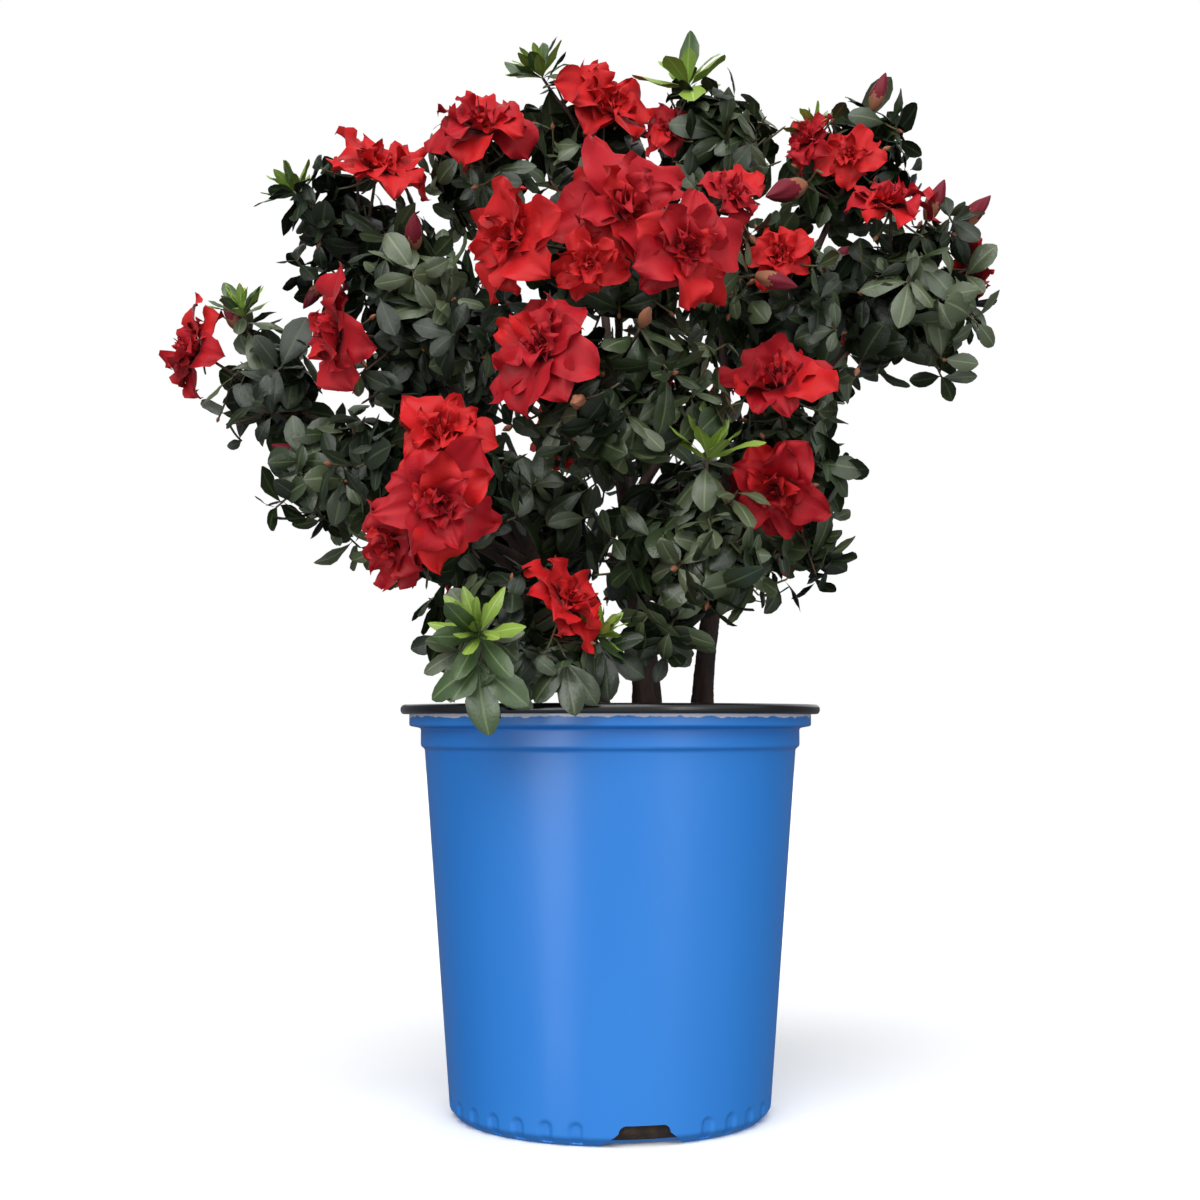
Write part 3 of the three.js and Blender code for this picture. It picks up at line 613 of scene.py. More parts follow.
masses = {
    "far_left": newMass("left", 0.86, (-189, -12, 396), (41, 36, 34), 6,
        blooms=[(-92, 36, 1.2, 52)], buds=[(-80, 66, 1.15, 18)], shoots=[(-30, 62, 1.3, 24)]),
    "low_left": newMass("left", 0.62, (-150, -25, 352), (38, 38, 33), 6,
        buds=[(-75, 20, 0.5, 19)]),
    "upper_left": newMass("left", 0.97, (-140, 0, 492), (44, 44, 38), 5,
        blooms=[(22, 48, 0.9, 54)], buds=[(-95, -55, 0.95, 18)], shoots=[(-80, 30, 0.95, 26)]),
    "left": newMass("left", 0.9, (-106, -68, 420), (46, 42, 50), 6,
        blooms=[(-62, -6, 0.82, 52)], buds=[(8, 44, 1.0, 22)]),
    "top_left": newMass("centre", 0.88, (-70, 4, 526), (40, 42, 36), 5,
        blooms=[(-2, 34, 0.85, 52)]),
    "top": newMass("centre", 0.98, (-14, 22, 548), (40, 42, 40), 5,
        blooms=[(26, 30, 0.72, 52)], shoots=[(-62, 52, 1.12, 28)]),
    "top_right": newMass("right", 0.93, (58, 8, 541), (40, 42, 38), 6,
        blooms=[(-60, 12, 0.76, 34)], shoots=[(-40, 58, 0.95, 36)]),
    "upper_right": newMass("right", 0.98, (138, 6, 528), (38, 40, 38), 6,
        blooms=[(-58, 22, 0.85, 34), (-10, 5, 0.55, 36)], buds=[(60, 68, 0.95, 22), (-52, -22, 1.05, 32)],
        shoots=[(-75, 45, 0.72, 24)]),
    "right": newMass("right", 0.88, (156, -20, 450), (48, 46, 44), 6,
        blooms=[(-8, 60, 1.1, 48), (100, 22, 1.04, 36)], buds=[(62, 64, 1.0, 24), (80, 46, 1.15, 24)]),
    "front_top": newMass("centre", 0.93, (4, -98, 454), (74, 46, 44), 3,
        blooms=[(-46, -2, 0.95, 52), (2, 18, 0.8, 60), (24, -12, 1.05, 54),
                (-12, -22, 1.02, 36), (74, 36, 1.0, 38)],
        buds=[(82, -18, 1.0, 22)]),
    "front": newMass("centre", 0.72, (-2, -104, 382), (62, 44, 48), 7,
        blooms=[(-30, 14, 1.0, 56)], buds=[(-12, -16, 1.02, 16), (18, 30, 1.0, 14)]),
    "front_left": newMass("left", 0.76, (-88, -92, 330), (40, 42, 50), 6,
        blooms=[(8, 34, 0.85, 46), (6, -10, 1.15, 55), (-38, -34, 0.92, 46)]),
    "low_front": newMass("left", 0.4, (-52, -96, 260), (42, 38, 32), 6,
        blooms=[(50, 24, 0.98, 44)], buds=[(-4, 20, 0.6, 14)],
        shoots=[(-15, -8, 1.1, 32), (72, -6, 1.1, 22)]),
    "low_right": newMass("centre", 0.5, (44, -84, 302), (40, 44, 58), 7,
        shoots=[(8, 46, 1.0, 34)]),
    "right_low": newMass("right", 0.72, (94, -46, 350), (28, 40, 45), 7,
        blooms=[(-18, 44, 1.2, 52), (-22, -24, 0.75, 48)]),
    "mid_right": newMass("right", 0.76, (96, -34, 448), (38, 40, 46), 6,
        blooms=[(-12, 20, 0.78, 36)]),
    "back_left": newMass("back", 0.95, (-92, 92, 442), (52, 46, 52), 6,
        blooms=[(-150, 10, 0.95, 54), (-100, 38, 0.95, 50)], buds=[(-60, 52, 1.0, 20)]),
    "back_top": newMass("back", 0.99, (0, 98, 512), (54, 46, 42), 6,
        blooms=[(-165, 38, 0.95, 56), (140, 12, 0.98, 52), (40, 78, 0.9, 48)],
        shoots=[(-120, 62, 1.0, 28)]),
    "back_right": newMass("back", 0.9, (104, 84, 452), (52, 46, 54), 6,
        blooms=[(118, 22, 0.95, 54), (160, 40, 0.95, 48)], buds=[(95, 50, 1.0, 20)]),
    "back": newMass("back", 0.84, (4, 122, 414), (52, 42, 48), 6,
        blooms=[(172, 5, 1.0, 56), (-142, -14, 0.98, 50)]),
    "back_low_left": newMass("left", 0.7, (-66, 60, 330), (46, 44, 46), 6,
        blooms=[(-128, -6, 0.95, 50)], shoots=[(-165, 18, 1.0, 26)]),
    "back_low_right": newMass("back", 0.66, (60, 76, 326), (46, 44, 46), 6,
        blooms=[(130, 8, 0.95, 52)], shoots=[(168, -12, 1.0, 24)]),
}


def curveFrom(a, b, c, d):
    # a curve through a and d, measured along its length
    corners = np.array([a, b, c, d], float)
    shares = np.linspace(0, 1, 201)
    steps = np.linalg.norm(np.diff(onCurve(corners, shares), axis=0), axis=1)
    return {"corners": corners, "shares": shares, "lengths": np.concatenate([[0], np.cumsum(steps)])}


def onCurve(corners, t):
    t = np.atleast_1d(t)[:, None]
    a, b, c, d = corners
    return a * (1 - t) ** 3 + b * 3 * t * (1 - t) ** 2 + c * 3 * t ** 2 * (1 - t) + d * t ** 3


def shareAt(curve, u):
    return np.interp(u * curve["lengths"][-1], curve["lengths"], curve["shares"])


def pointAt(curve, u):
    return onCurve(curve["corners"], shareAt(curve, u))[0]


def tangentAt(curve, u):
    t = shareAt(curve, u)
    ends = onCurve(curve["corners"], np.array([max(t - 1e-4, 0), min(t + 1e-4, 1)]))
    return unit(ends[1] - ends[0])


def stemCurve(stem):
    foot = mixShape["level"] + clearance
    base, tip = np.array([*stem["base"], foot], float), np.array(stem["tip"], float)
    rise = (tip[2] - foot) / 3
    before = (base - tip) * stemBend["lean"]
    before[2] = -stemBend["straightness"] * rise
    return curveFrom(base, [base[0], base[1], foot + rise], before + tip, tip)


def boughCurve(mass, stem):
    b = boughShape
    start = pointAt(stem["curve"], mass["fork"])
    inwards = unit(start - mass["centre"])
    inwards[2] = mix(inwards[2], b["hang"], b["hangShare"])
    end = mass["centre"] + unit(inwards) * mass["reach"] * b["entry"]
    span = np.linalg.norm(end - start)
    leaving = unit(mix(tangentAt(stem["curve"], mass["fork"]), unit(end - start), 0.5))
    arriving = unit(mass["centre"] - end)
    return curveFrom(start, start + leaving * span * b["leaving"], end - arriving * span * b["arriving"], end)


def boughRadius(limb, u):
    return mix(limb["radius"], limb["tipRadius"], u)


def stemRadius(limb, u):
    flare = 1 + stemBend["swell"] * math.exp(-u * limb["length"] / stemBend["flareHeight"])
    return boughRadius(limb, u) * flare


limbs = {}
for name, stem in stems.items():
    curve = stemCurve(stem)
    limbs["stem_" + name] = {**stem, "curve": curve, "length": curve["lengths"][-1], "radiusAt": stemRadius}
for name, mass in masses.items():
    curve = boughCurve(mass, limbs["stem_" + mass["stem"]])
    limbs["bough_" + name] = {
        "radius": boughShape["radius"], "tipRadius": boughShape["tipRadius"],
        "curve": curve, "length": curve["lengths"][-1], "radiusAt": boughRadius}


def barkAt(point, angle, radius, seed):
    # long furrows, a fine grain and soft lumps
    b, (x, y, z) = barkRelief, point
    ridge = math.sin(5 * angle + 0.09 * z + seed) + 0.6 * math.sin(9 * angle - 0.13 * z)
    furrow = b["furrow"] * ridge * 0.5
    fine = noise.noise(Vector(point) * b["grain"]) * b["furrow"]
    place = Vector((x, y, z * b["lumpStretch"])) * b["lumpScale"] + Vector((seed, 0, 0))
    return radius * (1 + furrow + fine + noise.noise(place) * b["lump"])


def makeLimbs():
    heap = newHeap()
    foot = mixShape["level"]
    for index, (name, limb) in enumerate(limbs.items()):
        isStem = name.startswith("stem")
        count = math.ceil(limb["length"] / barkRelief["ring"])
        shares = np.arange(count + 1) / count
        points = [pointAt(limb["curve"], u) for u in shares]
        radii = np.array([limb["radiusAt"](limb, u) for u in shares])
        if not isStem:
            # a bough swells into the collar where it leaves its stem
            swell = np.exp(-shares * limb["length"] / boughShape["collarLength"])
            radii = radii * (1 + boughShape["collar"] * swell)

        def relief(point, angle, radius, isStem=isStem, seed=index * barkRelief["seedStep"]):
            if isStem:
                fade = math.exp(-(point[2] - foot) / barkRelief["lobeHeight"])
                radius = radius * (1 + barkRelief["lobes"] * fade * math.cos(4 * angle + seed))
            return barkAt(point, angle, radius, seed)

        sides = barkRelief["stemSides" if isStem else "boughSides"]
        addTo(heap, *tube(points, radii, sides, relief))
    stops = [(0.3, rgb(30, 19, 16)), (0.55, rgb(58, 38, 30)), (0.8, rgb(92, 68, 54))]
    bark = paint("bark", rgb(58, 40, 31), 0.85, mottle=(95, stops, 8.0, (1, 1, 0.3)),
                 bump=(380, 0.7, 0.0012, 6.0, (1, 1, 0.25)))
    pieceFrom(heap, "barkLimbs", [bark], list(limbs))


makeLimbs()


# the room each mass has

twigShape = {
    "shortest": 0.62, "longest": 0.85, "backwards": -0.62, "sag": 1.5, "radius": 1.15, "tipRadius": 0.8,
}
massStemShape = {
    "beyondCentre": 0.3, "firstRoot": 0.12, "lastRoot": 0.96, "rootOffset": 0.7, "radius": 1.75,
    "tipRadius": 1.2, "sides": 8, "startOnBough": 0.97,
}
whorls = {
    "leaves": {"length": 50, "slimness": 0.5, "lowest": -14, "highest": 44, "droop": 0.16},
    "collar": {"length": 46, "slimness": 0.5, "lowest": -34, "highest": 2, "droop": 0.16},
    "young": {"slimness": 0.3, "lowest": 40, "highest": 68, "droop": 0},
}
widestAt = 0.52
leafTries = [1, 0.8]
leafSpread = {"shortest": 0.85, "longest": 1.1, "turn": 0.2}
margins = {"limb": 1.2, "leaf": 3, "pot": 3, "beads": 3, "near": 150}
bloomBall = {"lift": 0.2, "radius": 0.55}
sector = 2 * math.pi / 5


def tipAt(mass, direction, share):
    return mass["centre"] + mass["reach"] * direction * share


beadPoints, beadRadii = [], []
for limb in limbs.values():
    count = math.ceil(limb["length"] / margins["beads"])
    for k in range(count + 1):
        beadPoints.append(pointAt(limb["curve"], k / count))
        beadRadii.append(limb["radiusAt"](limb, k / count))
beadPoints, beadRadii = np.array(beadPoints), np.array(beadRadii)

balls = []
for name, mass in masses.items():
    for bearing, rise, share, size in mass["blooms"]:
        direction = compass(bearing, rise)
        foot = tipAt(mass, direction, share)
        balls.append({"mass": name, "foot": foot, "point": foot + direction * bloomBall["lift"] * size,
                      "radius": bloomBall["radius"] * size})
massNames = list(masses)
centres = np.array([m["centre"] for m in masses.values()])
weights = np.array([m["weight"] for m in masses.values()])


def depthInCell(points, name):
    index = massNames.index(name)
    others = [k for k in range(len(massNames)) if k != index]
    power = ((points[:, None] - centres[None]) ** 2).sum(2) - weights
    apart = np.linalg.norm(centres[others] - centres[index], axis=1)
    return ((power[:, others] - power[:, [index]]) / (2 * apart)).min(1)


def nearestGap(points, others, radii):
    if not len(others):
        return np.full(len(points), 1e9)
    away = np.linalg.norm(points[:, None] - others[None], axis=2) - radii
    return away.min(1)


def newSpace(name):
    near = np.linalg.norm(beadPoints - masses[name]["centre"], axis=1) < margins["near"]
    return {"name": name, "beads": beadPoints[near], "radii": beadRadii[near], "taken": [], "owners": []}


def take(space, points, owner=None):
    space["taken"].append(points)
    space["owners"] += [owner] * len(points)


def clearOfLimbs(space, points, margin=margins["limb"]):
    inPot = (points[:, 2] < potShape["height"] + margins["pot"]) & (
        np.hypot(points[:, 0], points[:, 1]) < potShape["rimRadius"] + margins["pot"])
    return not inPot.any() and (nearestGap(points, space["beads"], space["radii"]) > margin).all()


def clearOfNeighbours(space, points, tip=None, slack=0.0):
    others = [b for b in balls if tip is None or b["mass"] != space["name"]
              or np.linalg.norm(b["foot"] - tip) > 1]
    places = np.array([b["point"] for b in others])
    radii = np.array([b["radius"] - slack for b in others])
    inCell = (depthInCell(points, space["name"]) > clearance).all()
    return inCell and (nearestGap(points, places, radii) > 0).all()


def hasRoom(space, points, twig):
    if not (clearOfNeighbours(space, points, twig["tip"]) and clearOfLimbs(space, points)):
        return False
    taken = np.concatenate(space["taken"])
    foreign = np.array([owner is not twig["key"] for owner in space["owners"]])
    return (nearestGap(points, taken[foreign], 0) > margins["leaf"]).all()


# the growth rule

# first numbers of the rows of draws; every mass has its own hundred of twigs
seeds = {"plan": 7, "bloom": 9000, "twig": 50000, "fill": 70000, "hanging": 81000, "perMass": 100}


def massStem(name):
    curve = limbs["bough_" + name]["curve"]
    forward = tangentAt(curve, 1)
    mass = masses[name]
    top = mass["centre"] + forward * massStemShape["beyondCentre"] * mass["reach"].min()
    return pointAt(curve, 1) + forward * clearance, top


def twigPlan(name, start, top, seed):
    mass = masses[name]
    plan = []
    for kind, key in (("bloom", "blooms"), ("bud", "buds"), ("shoot", "shoots")):
        for bearing, rise, share, size in mass[key]:
            direction = compass(bearing, rise)
            tip = tipAt(mass, direction, share)
            plan.append({"kind": kind, "direction": direction, "tip": tip, "size": size})
    random = seeded(seed)
    turn = random() * 2 * math.pi
    axis = unit(top - start)
    for direction in goldenWays(axis, mass["twigs"], twigShape["backwards"], turn):
        share = mix(twigShape["shortest"], twigShape["longest"], random())
        tip = tipAt(mass, direction, share)
        plan.append({"kind": "leaves", "direction": direction, "tip": tip, "size": 0})
    order = sorted(range(len(plan)), key=lambda k: plan[k]["tip"].dot(axis))
    for i, twig in enumerate(plan):
        rank = order.index(i) / (len(plan) - 1)
        root = mix(start, top, mix(massStemShape["firstRoot"], massStemShape["lastRoot"], rank))
        outwards = twig["tip"] - root
        outwards = unit(outwards - axis * outwards.dot(axis)) * massStemShape["rootOffset"]
        twig.update(root=root + outwards, random=seeded(seed * seeds["perMass"] + i), key=(name, i))
    return plan


def sprayLine(origin, axes, whorl, share, angle, random):
    # one of the source's large leaves: its outline, which a spray of small leaves fills here
    lift = math.radians(mix(whorl["lowest"], whorl["highest"], random()))
    length = whorl["length"] * share * mix(leafSpread["shortest"], leafSpread["longest"], random())
    u, v, w = axes
    along = (u * math.cos(angle) + v * math.sin(angle)) * math.cos(lift) + w * math.sin(lift)
    side = -u * math.sin(angle) + v * math.cos(angle)
    widest = origin + along * widestAt * length
    tip = origin + along * length - up * whorl["droop"] * length
    half = whorl["slimness"] * length / 2
    return [widest - side * half, tip, widest + side * half]


def growSprays(space, twig):
    random = twig["random"]
    forward = unit(twig["tip"] - twig["root"])
    axes = axesAlong(forward)
    turn = random() * sector
    facing = unit(mix(forward, twig["direction"], 0.5)) if twig["kind"] == "leaves" else twig["direction"]
    endAxes = axesAlong(facing, axes)
    whorl = whorls[{"leaves": "leaves", "shoot": "young"}.get(twig["kind"], "collar")]
    if twig["kind"] == "shoot":
        whorl = {**whorl, "length": twig["size"]}
    lines, grown = [], []
    for i in range(5):
        for share in leafTries:
            angle = turn + (i + 0.5 + (random() - 0.5) * leafSpread["turn"]) * sector
            outline = sprayLine(twig["tip"], endAxes, whorl, share, angle, random)
            marks = np.concatenate([spacedPoints([twig["tip"], p]) for p in spacedPoints(outline)])
            marks = marks[np.linalg.norm(marks - twig["tip"], axis=1) > margins["leaf"]]
            if hasRoom(space, marks, twig):
                grown.append(marks)
                lines.append(outline)
                break
    if grown:
        take(space, np.concatenate(grown))
    twig.update(axes=endAxes, facing=facing, turn=turn, lines=lines)


# leaves

leafShape = {
    "rows": [0, 0.07, 0.16, 0.32, 0.5, 0.68, 0.84, 0.95, 1], "columns": [-1, -0.55, -0.085, 0.085, 0.55, 1],
    "slimness": 0.5, "stalk": 0.07, "fullness": 1.28, "bluntness": 0.72, "sunkenRib": 0.34,
    "edgeFall": 0.44, "wave": 0.04, "offBlooms": 2.5, "offLimbs": 0.8, "curl": (0.25, 0.95),
    "fold": (0.4, 1.6), "sway": 0.16, "sag": 0.12,
}
leafRows = np.array(leafShape["rows"])[:, None]
leafColumns = np.array(leafShape["columns"])[None, :]
leafFaces = gridQuads(len(leafShape["rows"]), len(leafShape["columns"]))
ribFaces = np.tile([0, 0, 1, 0, 0], len(leafShape["rows"]) - 1)
# elliptic, a little wider beyond the middle, with a small point
leafWidths = np.sin(math.pi * np.clip((leafRows - 0.05) / 0.95, 0, 1) ** leafShape["fullness"])
leafWidths = np.maximum(leafWidths ** leafShape["bluntness"], leafShape["stalk"] * (1 - leafRows))


def leafPoints(base, along, normal, length, slimness, curl, fold, phase, sway):
    side = np.cross(normal, along)
    angle = curl * leafRows
    reach = np.where(abs(curl) > 1e-3, np.sin(angle) / curl, leafRows) * length
    fall = (1 - np.cos(angle)) / curl * length
    half = leafWidths * slimness * length / 2
    across = leafColumns * half
    s = abs(leafColumns)
    lift = half * (leafShape["sunkenRib"] * fold * s - leafShape["edgeFall"] * s ** 2)
    ripple = length * leafShape["wave"] * s ** 2 * np.sin(9 * leafRows + phase + 2 * leafColumns)
    lift = lift + ripple * leafWidths
    across = across + length * sway * leafRows ** 2
    flat = np.stack([np.broadcast_to(reach, across.shape), across, lift - fall], axis=2).reshape(-1, 3)
    return base + flat @ np.array([along, side, normal])


def addLeaf(heap, base, along, normal, length, slimness, random, droop=0.0):
    curl = mix(*leafShape["curl"], random()) + droop
    fold = mix(*leafShape["fold"], random())
    phase, sway = random() * 6.3, (random() - 0.5) * leafShape["sway"]
    points = leafPoints(base, along, normal, length, slimness, curl, fold, phase, sway)
    addTo(heap, points, leafFaces, ribFaces)


def leafStand(axes, angle, lift, hang, toLight):
    # which way a leaf leaves a twig, and its upper side
    out = pointOn(np.zeros(3), axes, 1, angle)
    along = unit(out * math.cos(lift) + axes[2] * math.sin(lift) - up * hang)
    normal = axes[2] * math.cos(lift) - out * math.sin(lift) + up * toLight
    return along, unit(normal - along * normal.dot(along))


rosetteShape = {
    "leaves": 7, "length": 29, "shortest": 0.6, "lowest": -34, "highest": 42, "stack": 8.0,
    "turnToLight": 0.45, "hang": 0.12, "jitter": 12,
    "lengths": (0.82, 1.14), "widths": (0.86, 1.16),
}
sprayShape = {
    "twiglet": 0.46, "spread": (0.85, 1.15), "sag": 0.03, "tipLift": 0.22, "radius": 0.75,
    "tipRadius": 0.55, "fullLength": 46, "largest": 1.08, "ownShade": 0.6,
}
alongShape = {
    "last": 0.92, "lift": (5, 45), "hang": 0.15, "turnToLight": 0.6, "lengths": (0.7, 1.0),
    "widths": (0.9, 1.15),
}
leafHeaps = {name: newHeap() for name in ("inner", "deep", "mid", "grey", "fresh", "young")}
twigHeap, budHeap, petalHeap = newHeap(), newHeap(), newHeap()


# gaps that stay open to the sky: x, y, z and radius
openPlaces = np.array([
    (74, -70, 266, 22), (80, 60, 276, 22), (172, -20, 396, 18), (134, -40, 333, 17), (-241, -12, 400, 13),
    (-208, -20, 368, 21), (-178, -10, 432, 18), (-158, 0, 462, 15), (-92, -110, 246, 12), (-84, 0, 503, 15),
    (-36, -60, 312, 12), (-38, 0, 312, 13), (-40, 50, 314, 14), (-42, 95, 318, 14),
    (-222, -46, 414, 20), (60, -128, 480, 24), (74, -96, 486, 16),
], float)


def isOpen(points):
    return nearestGap(points, openPlaces[:, :3], openPlaces[:, 3]).min() < 0


def leafFits(space, base, along, side, length, slimness):
    half = slimness * length / 2
    sag = up * length * leafShape["sag"]
    middle = base + along * length * 0.55
    marks = np.array([base + along * length * 0.3, middle - side * half, middle + side * half,
                      base + along * length * 0.8 - sag, base + along * length - sag])
    if isOpen(marks):
        return False
    return (clearOfNeighbours(space, marks, slack=-leafShape["offBlooms"])
            and clearOfLimbs(space, marks, leafShape["offLimbs"]))


def tryLeaf(space, shade, base, stand, length, slimness, random):
    along, normal = stand
    if leafFits(space, base, along, np.cross(normal, along), length, slimness):
        addLeaf(leafHeaps[shade], base, along, normal, length, slimness, random)


def growRosette(space, origin, axis, shade, random, **change):
    # leaves crowd the last millimetres of a twig, the lowest the largest and the most hanging
    r = {**rosetteShape, **change}
    axes = axesAlong(axis)
    turn = random() * 2 * math.pi
    for i in range(r["leaves"]):
        rank = i / max(r["leaves"] - 1, 1)
        lift = math.radians(mix(r["lowest"], r["highest"], rank ** 1.2) + (random() - 0.5) * 2 * r["jitter"])
        length = r["length"] * mix(1, r["shortest"], rank ** 1.5) * mix(*r["lengths"], random())
        slimness = leafShape["slimness"] * mix(*r["widths"], random())
        stand = leafStand(axes, turn + i * goldenAngle, lift, r["hang"], r["turnToLight"])
        tryLeaf(space, shade, origin - axis * (1 - rank) * r["stack"], stand, length, slimness, random)


def shadeOf(random):
    draw = random()
    return "deep" if draw < 0.34 else "mid" if draw < 0.7 else "grey"


def bentLine(a, b, sag=0.0, count=6):
    # a line from a to b that bows by sag
    shares = np.linspace(0, 1, count)
    return [mix(a, b, t) + sag * 4 * t * (1 - t) for t in shares]


def addTwig(points, radius, tipRadius, sides=6, shade=0):
    radii = np.linspace(radius, tipRadius, len(points))
    points, quads = tube(points, radii, sides)
    addTo(twigHeap, points, quads, shade)


def addSpindle(heap, origin, axes, grid, size, radiusAt, turn=0.0, paints=1):
    # a small closed form from origin along the axes; radiusAt(row, side, height, angle)
    rows, sides = grid
    points = []
    for r in range(rows):
        t = r / (rows - 1)
        for s in range(sides):
            angle = 2 * math.pi * s / sides
            points.append(pointOn(origin, axes, radiusAt(r, s, t, angle), turn + angle, size * t))
    addTo(heap, np.array(points), gridQuads(rows, sides, True), paints)


tipBuds = {
    "share": 0.3, "sizes": (3.5, 6), "fillShare": 0.35, "fillSizes": (3.5, 6.5), "width": 0.26,
    "scales": 0.12,
}


def addTipBud(origin, axis, size, random):
    # small scaly bud in the heart of a rosette
    def radiusAt(r, s, t, angle):
        radius = size * tipBuds["width"] * math.sin(math.pi * (0.1 + 0.88 * t) ** 0.8)
        return radius * (1 + tipBuds["scales"] * ((r + s) % 2))

    addSpindle(budHeap, origin, axesAlong(axis), (6, 6), size, radiusAt, random() * 6.3)


def growSpray(space, twig, outline, shade, random):
    # a side twig runs down the middle of the outline and ends in a rosette
    tip = outline[1]
    run = tip - twig["tip"]
    length = np.linalg.norm(run)
    s = sprayShape
    end = twig["tip"] + run * s["twiglet"] * mix(*s["spread"], random())
    if isOpen(end[None]):
        return
    line = bentLine(twig["tip"] - twig["facing"], end, -up * length * s["sag"])
    addTwig(line, s["radius"], s["tipRadius"], 5, 1)
    axis = unit(unit(run) + up * s["tipLift"])
    leafLength = rosetteShape["length"] * min(length / s["fullLength"], s["largest"])
    growRosette(space, end, axis, shade, random, length=leafLength)
    if random() < tipBuds["share"]:
        addTipBud(end, axis, mix(*tipBuds["sizes"], random()), random)


def growAlong(space, twig, shade, random, count, first=0.35):
    # single leaves along a twig
    a = alongShape
    axes = axesAlong(unit(twig["tip"] - twig["root"]))
    turn = random() * 6.3
    for i in range(count):
        place = mix(twig["root"], twig["tip"], mix(first, a["last"], i / max(count - 1, 1)))
        lift = math.radians(mix(*a["lift"], random()))
        stand = leafStand(axes, turn + i * goldenAngle, lift, a["hang"], a["turnToLight"])
        length = rosetteShape["length"] * mix(*a["lengths"], random())
        slimness = leafShape["slimness"] * mix(*a["widths"], random())
        tryLeaf(space, shade, place, stand, length, slimness, random)


# finer twigs that fill each mass by the same golden-angle rule, some short and some at its edge
fillShape = {
    "count": 13, "inner": (0.25, 0.6), "outer": (0.72, 1.0), "backwards": -0.8, "leaves": 3,
    "radius": 0.95, "tipRadius": 0.6, "rosette": 6, "shadedInsideReach": 0.6,
    "roots": (0.1, 0.95), "rootTries": (0.2, 0.55, 0.9), "outwards": 0.6, "lift": 0.15, "sag": 2,
}
reaching = {  # bearing, rise, share of the reach
    "back_low_left": [(80, -12, 1.35), (58, 22, 1.3), (98, -36, 1.3), (38, -30, 1.2), (84, 12, 1.15),
        (84, -50, 1.4), (70, -5, 1.5)],
    "back_low_right": [(-82, -12, 1.3), (-60, 22, 1.25), (-98, -38, 1.3), (-45, -32, 1.2), (-84, 14, 1.1),
        (-86, -55, 1.4)],
    "low_front": [(62, -12, 1.1), (84, 8, 1.25), (30, -28, 0.95), (76, -42, 1.05), (96, 40, 1.1)],
    "low_right": [(-72, 4, 1.15), (-62, -40, 1.0), (-88, 30, 1.1), (-90, -10, 1.3)],
    "right_low": [(60, -66, 1.15), (100, -50, 1.1)],
    "front": [(70, 55, 0.9), (0, 62, 0.9), (-60, 58, 0.95), (35, 66, 1.0), (-75, -35, 1.05), (80, -10, 1.1),
        (75, -35, 1.0), (85, 25, 1.05)],
    "front_left": [(-30, -75, 1.0)],
    "left": [(-60, -55, 1.0)],
    "low_left": [(70, 30, 1.0)],
    "upper_left": [(85, 25, 0.95)],
    "top_right": [(90, -10, 1.0), (80, 30, 0.9)],
    "upper_right": [(-85, -15, 1.1), (-80, 20, 1.0)],
    "front_top": [(0, -70, 0.85), (50, -60, 0.9), (-50, -60, 0.9), (100, -50, 0.8)],
    "top": [(80, -14, 1.1), (110, 20, 1.0)],
}
thinPlaces = np.array([  # a finer twig of the mass whose cell holds the place grows towards it
    (-10, 30, 262), (-10, 40, 288), (-8, 20, 308), (-10, 10, 330), (-6, -40, 300), (-8, -50, 262),
    (2, -30, 330), (-10, 44, 240), (0, -44, 345), (-50, -70, 366), (-46, -50, 356), (-54, -40, 372),
    (-132, -50, 376), (-142, -20, 372), (-122, -60, 382), (-100, -100, 282), (-92, -90, 276),
    (-108, -84, 286), (-8, -84, 418), (6, -70, 420), (-14, -70, 414), (34, -84, 420), (44, -70, 416),
    (26, -60, 424), (24, 0, 572), (34, 10, 574), (16, 10, 566), (88, 0, 545), (96, 0, 520), (104, 4, 500),
    (84, -8, 505), (100, 10, 555), (134, -44, 404), (146, -30, 404), (128, -30, 412), (108, -60, 292),
    (116, -46, 298), (104, -70, 302), (112, -30, 290), (2, 90, 455), (-10, 95, 450), (12, 85, 452),
    (42, 100, 461), (-12, 90, 268), (0, 95, 290), (-14, 100, 300), (-6, 100, 330), (-4, 105, 350),
    (8, 90, 262), (-57, 90, 392), (-8, 20, 350), (-10, 60, 360), (-8, 100, 372), (-20, 84, 286),
    (-24, 70, 340), (14, 84, 316), (20, 90, 346),
], float)
moreFill = {"front": 20, "front_left": 17, "front_top": 22, "low_front": 18, "low_right": 20, "right_low": 16,
            "back_low_left": 18, "back_low_right": 18, "left": 18, "mid_right": 16, "right": 14,
            "far_left": 4, "low_left": 6, "upper_left": 7}


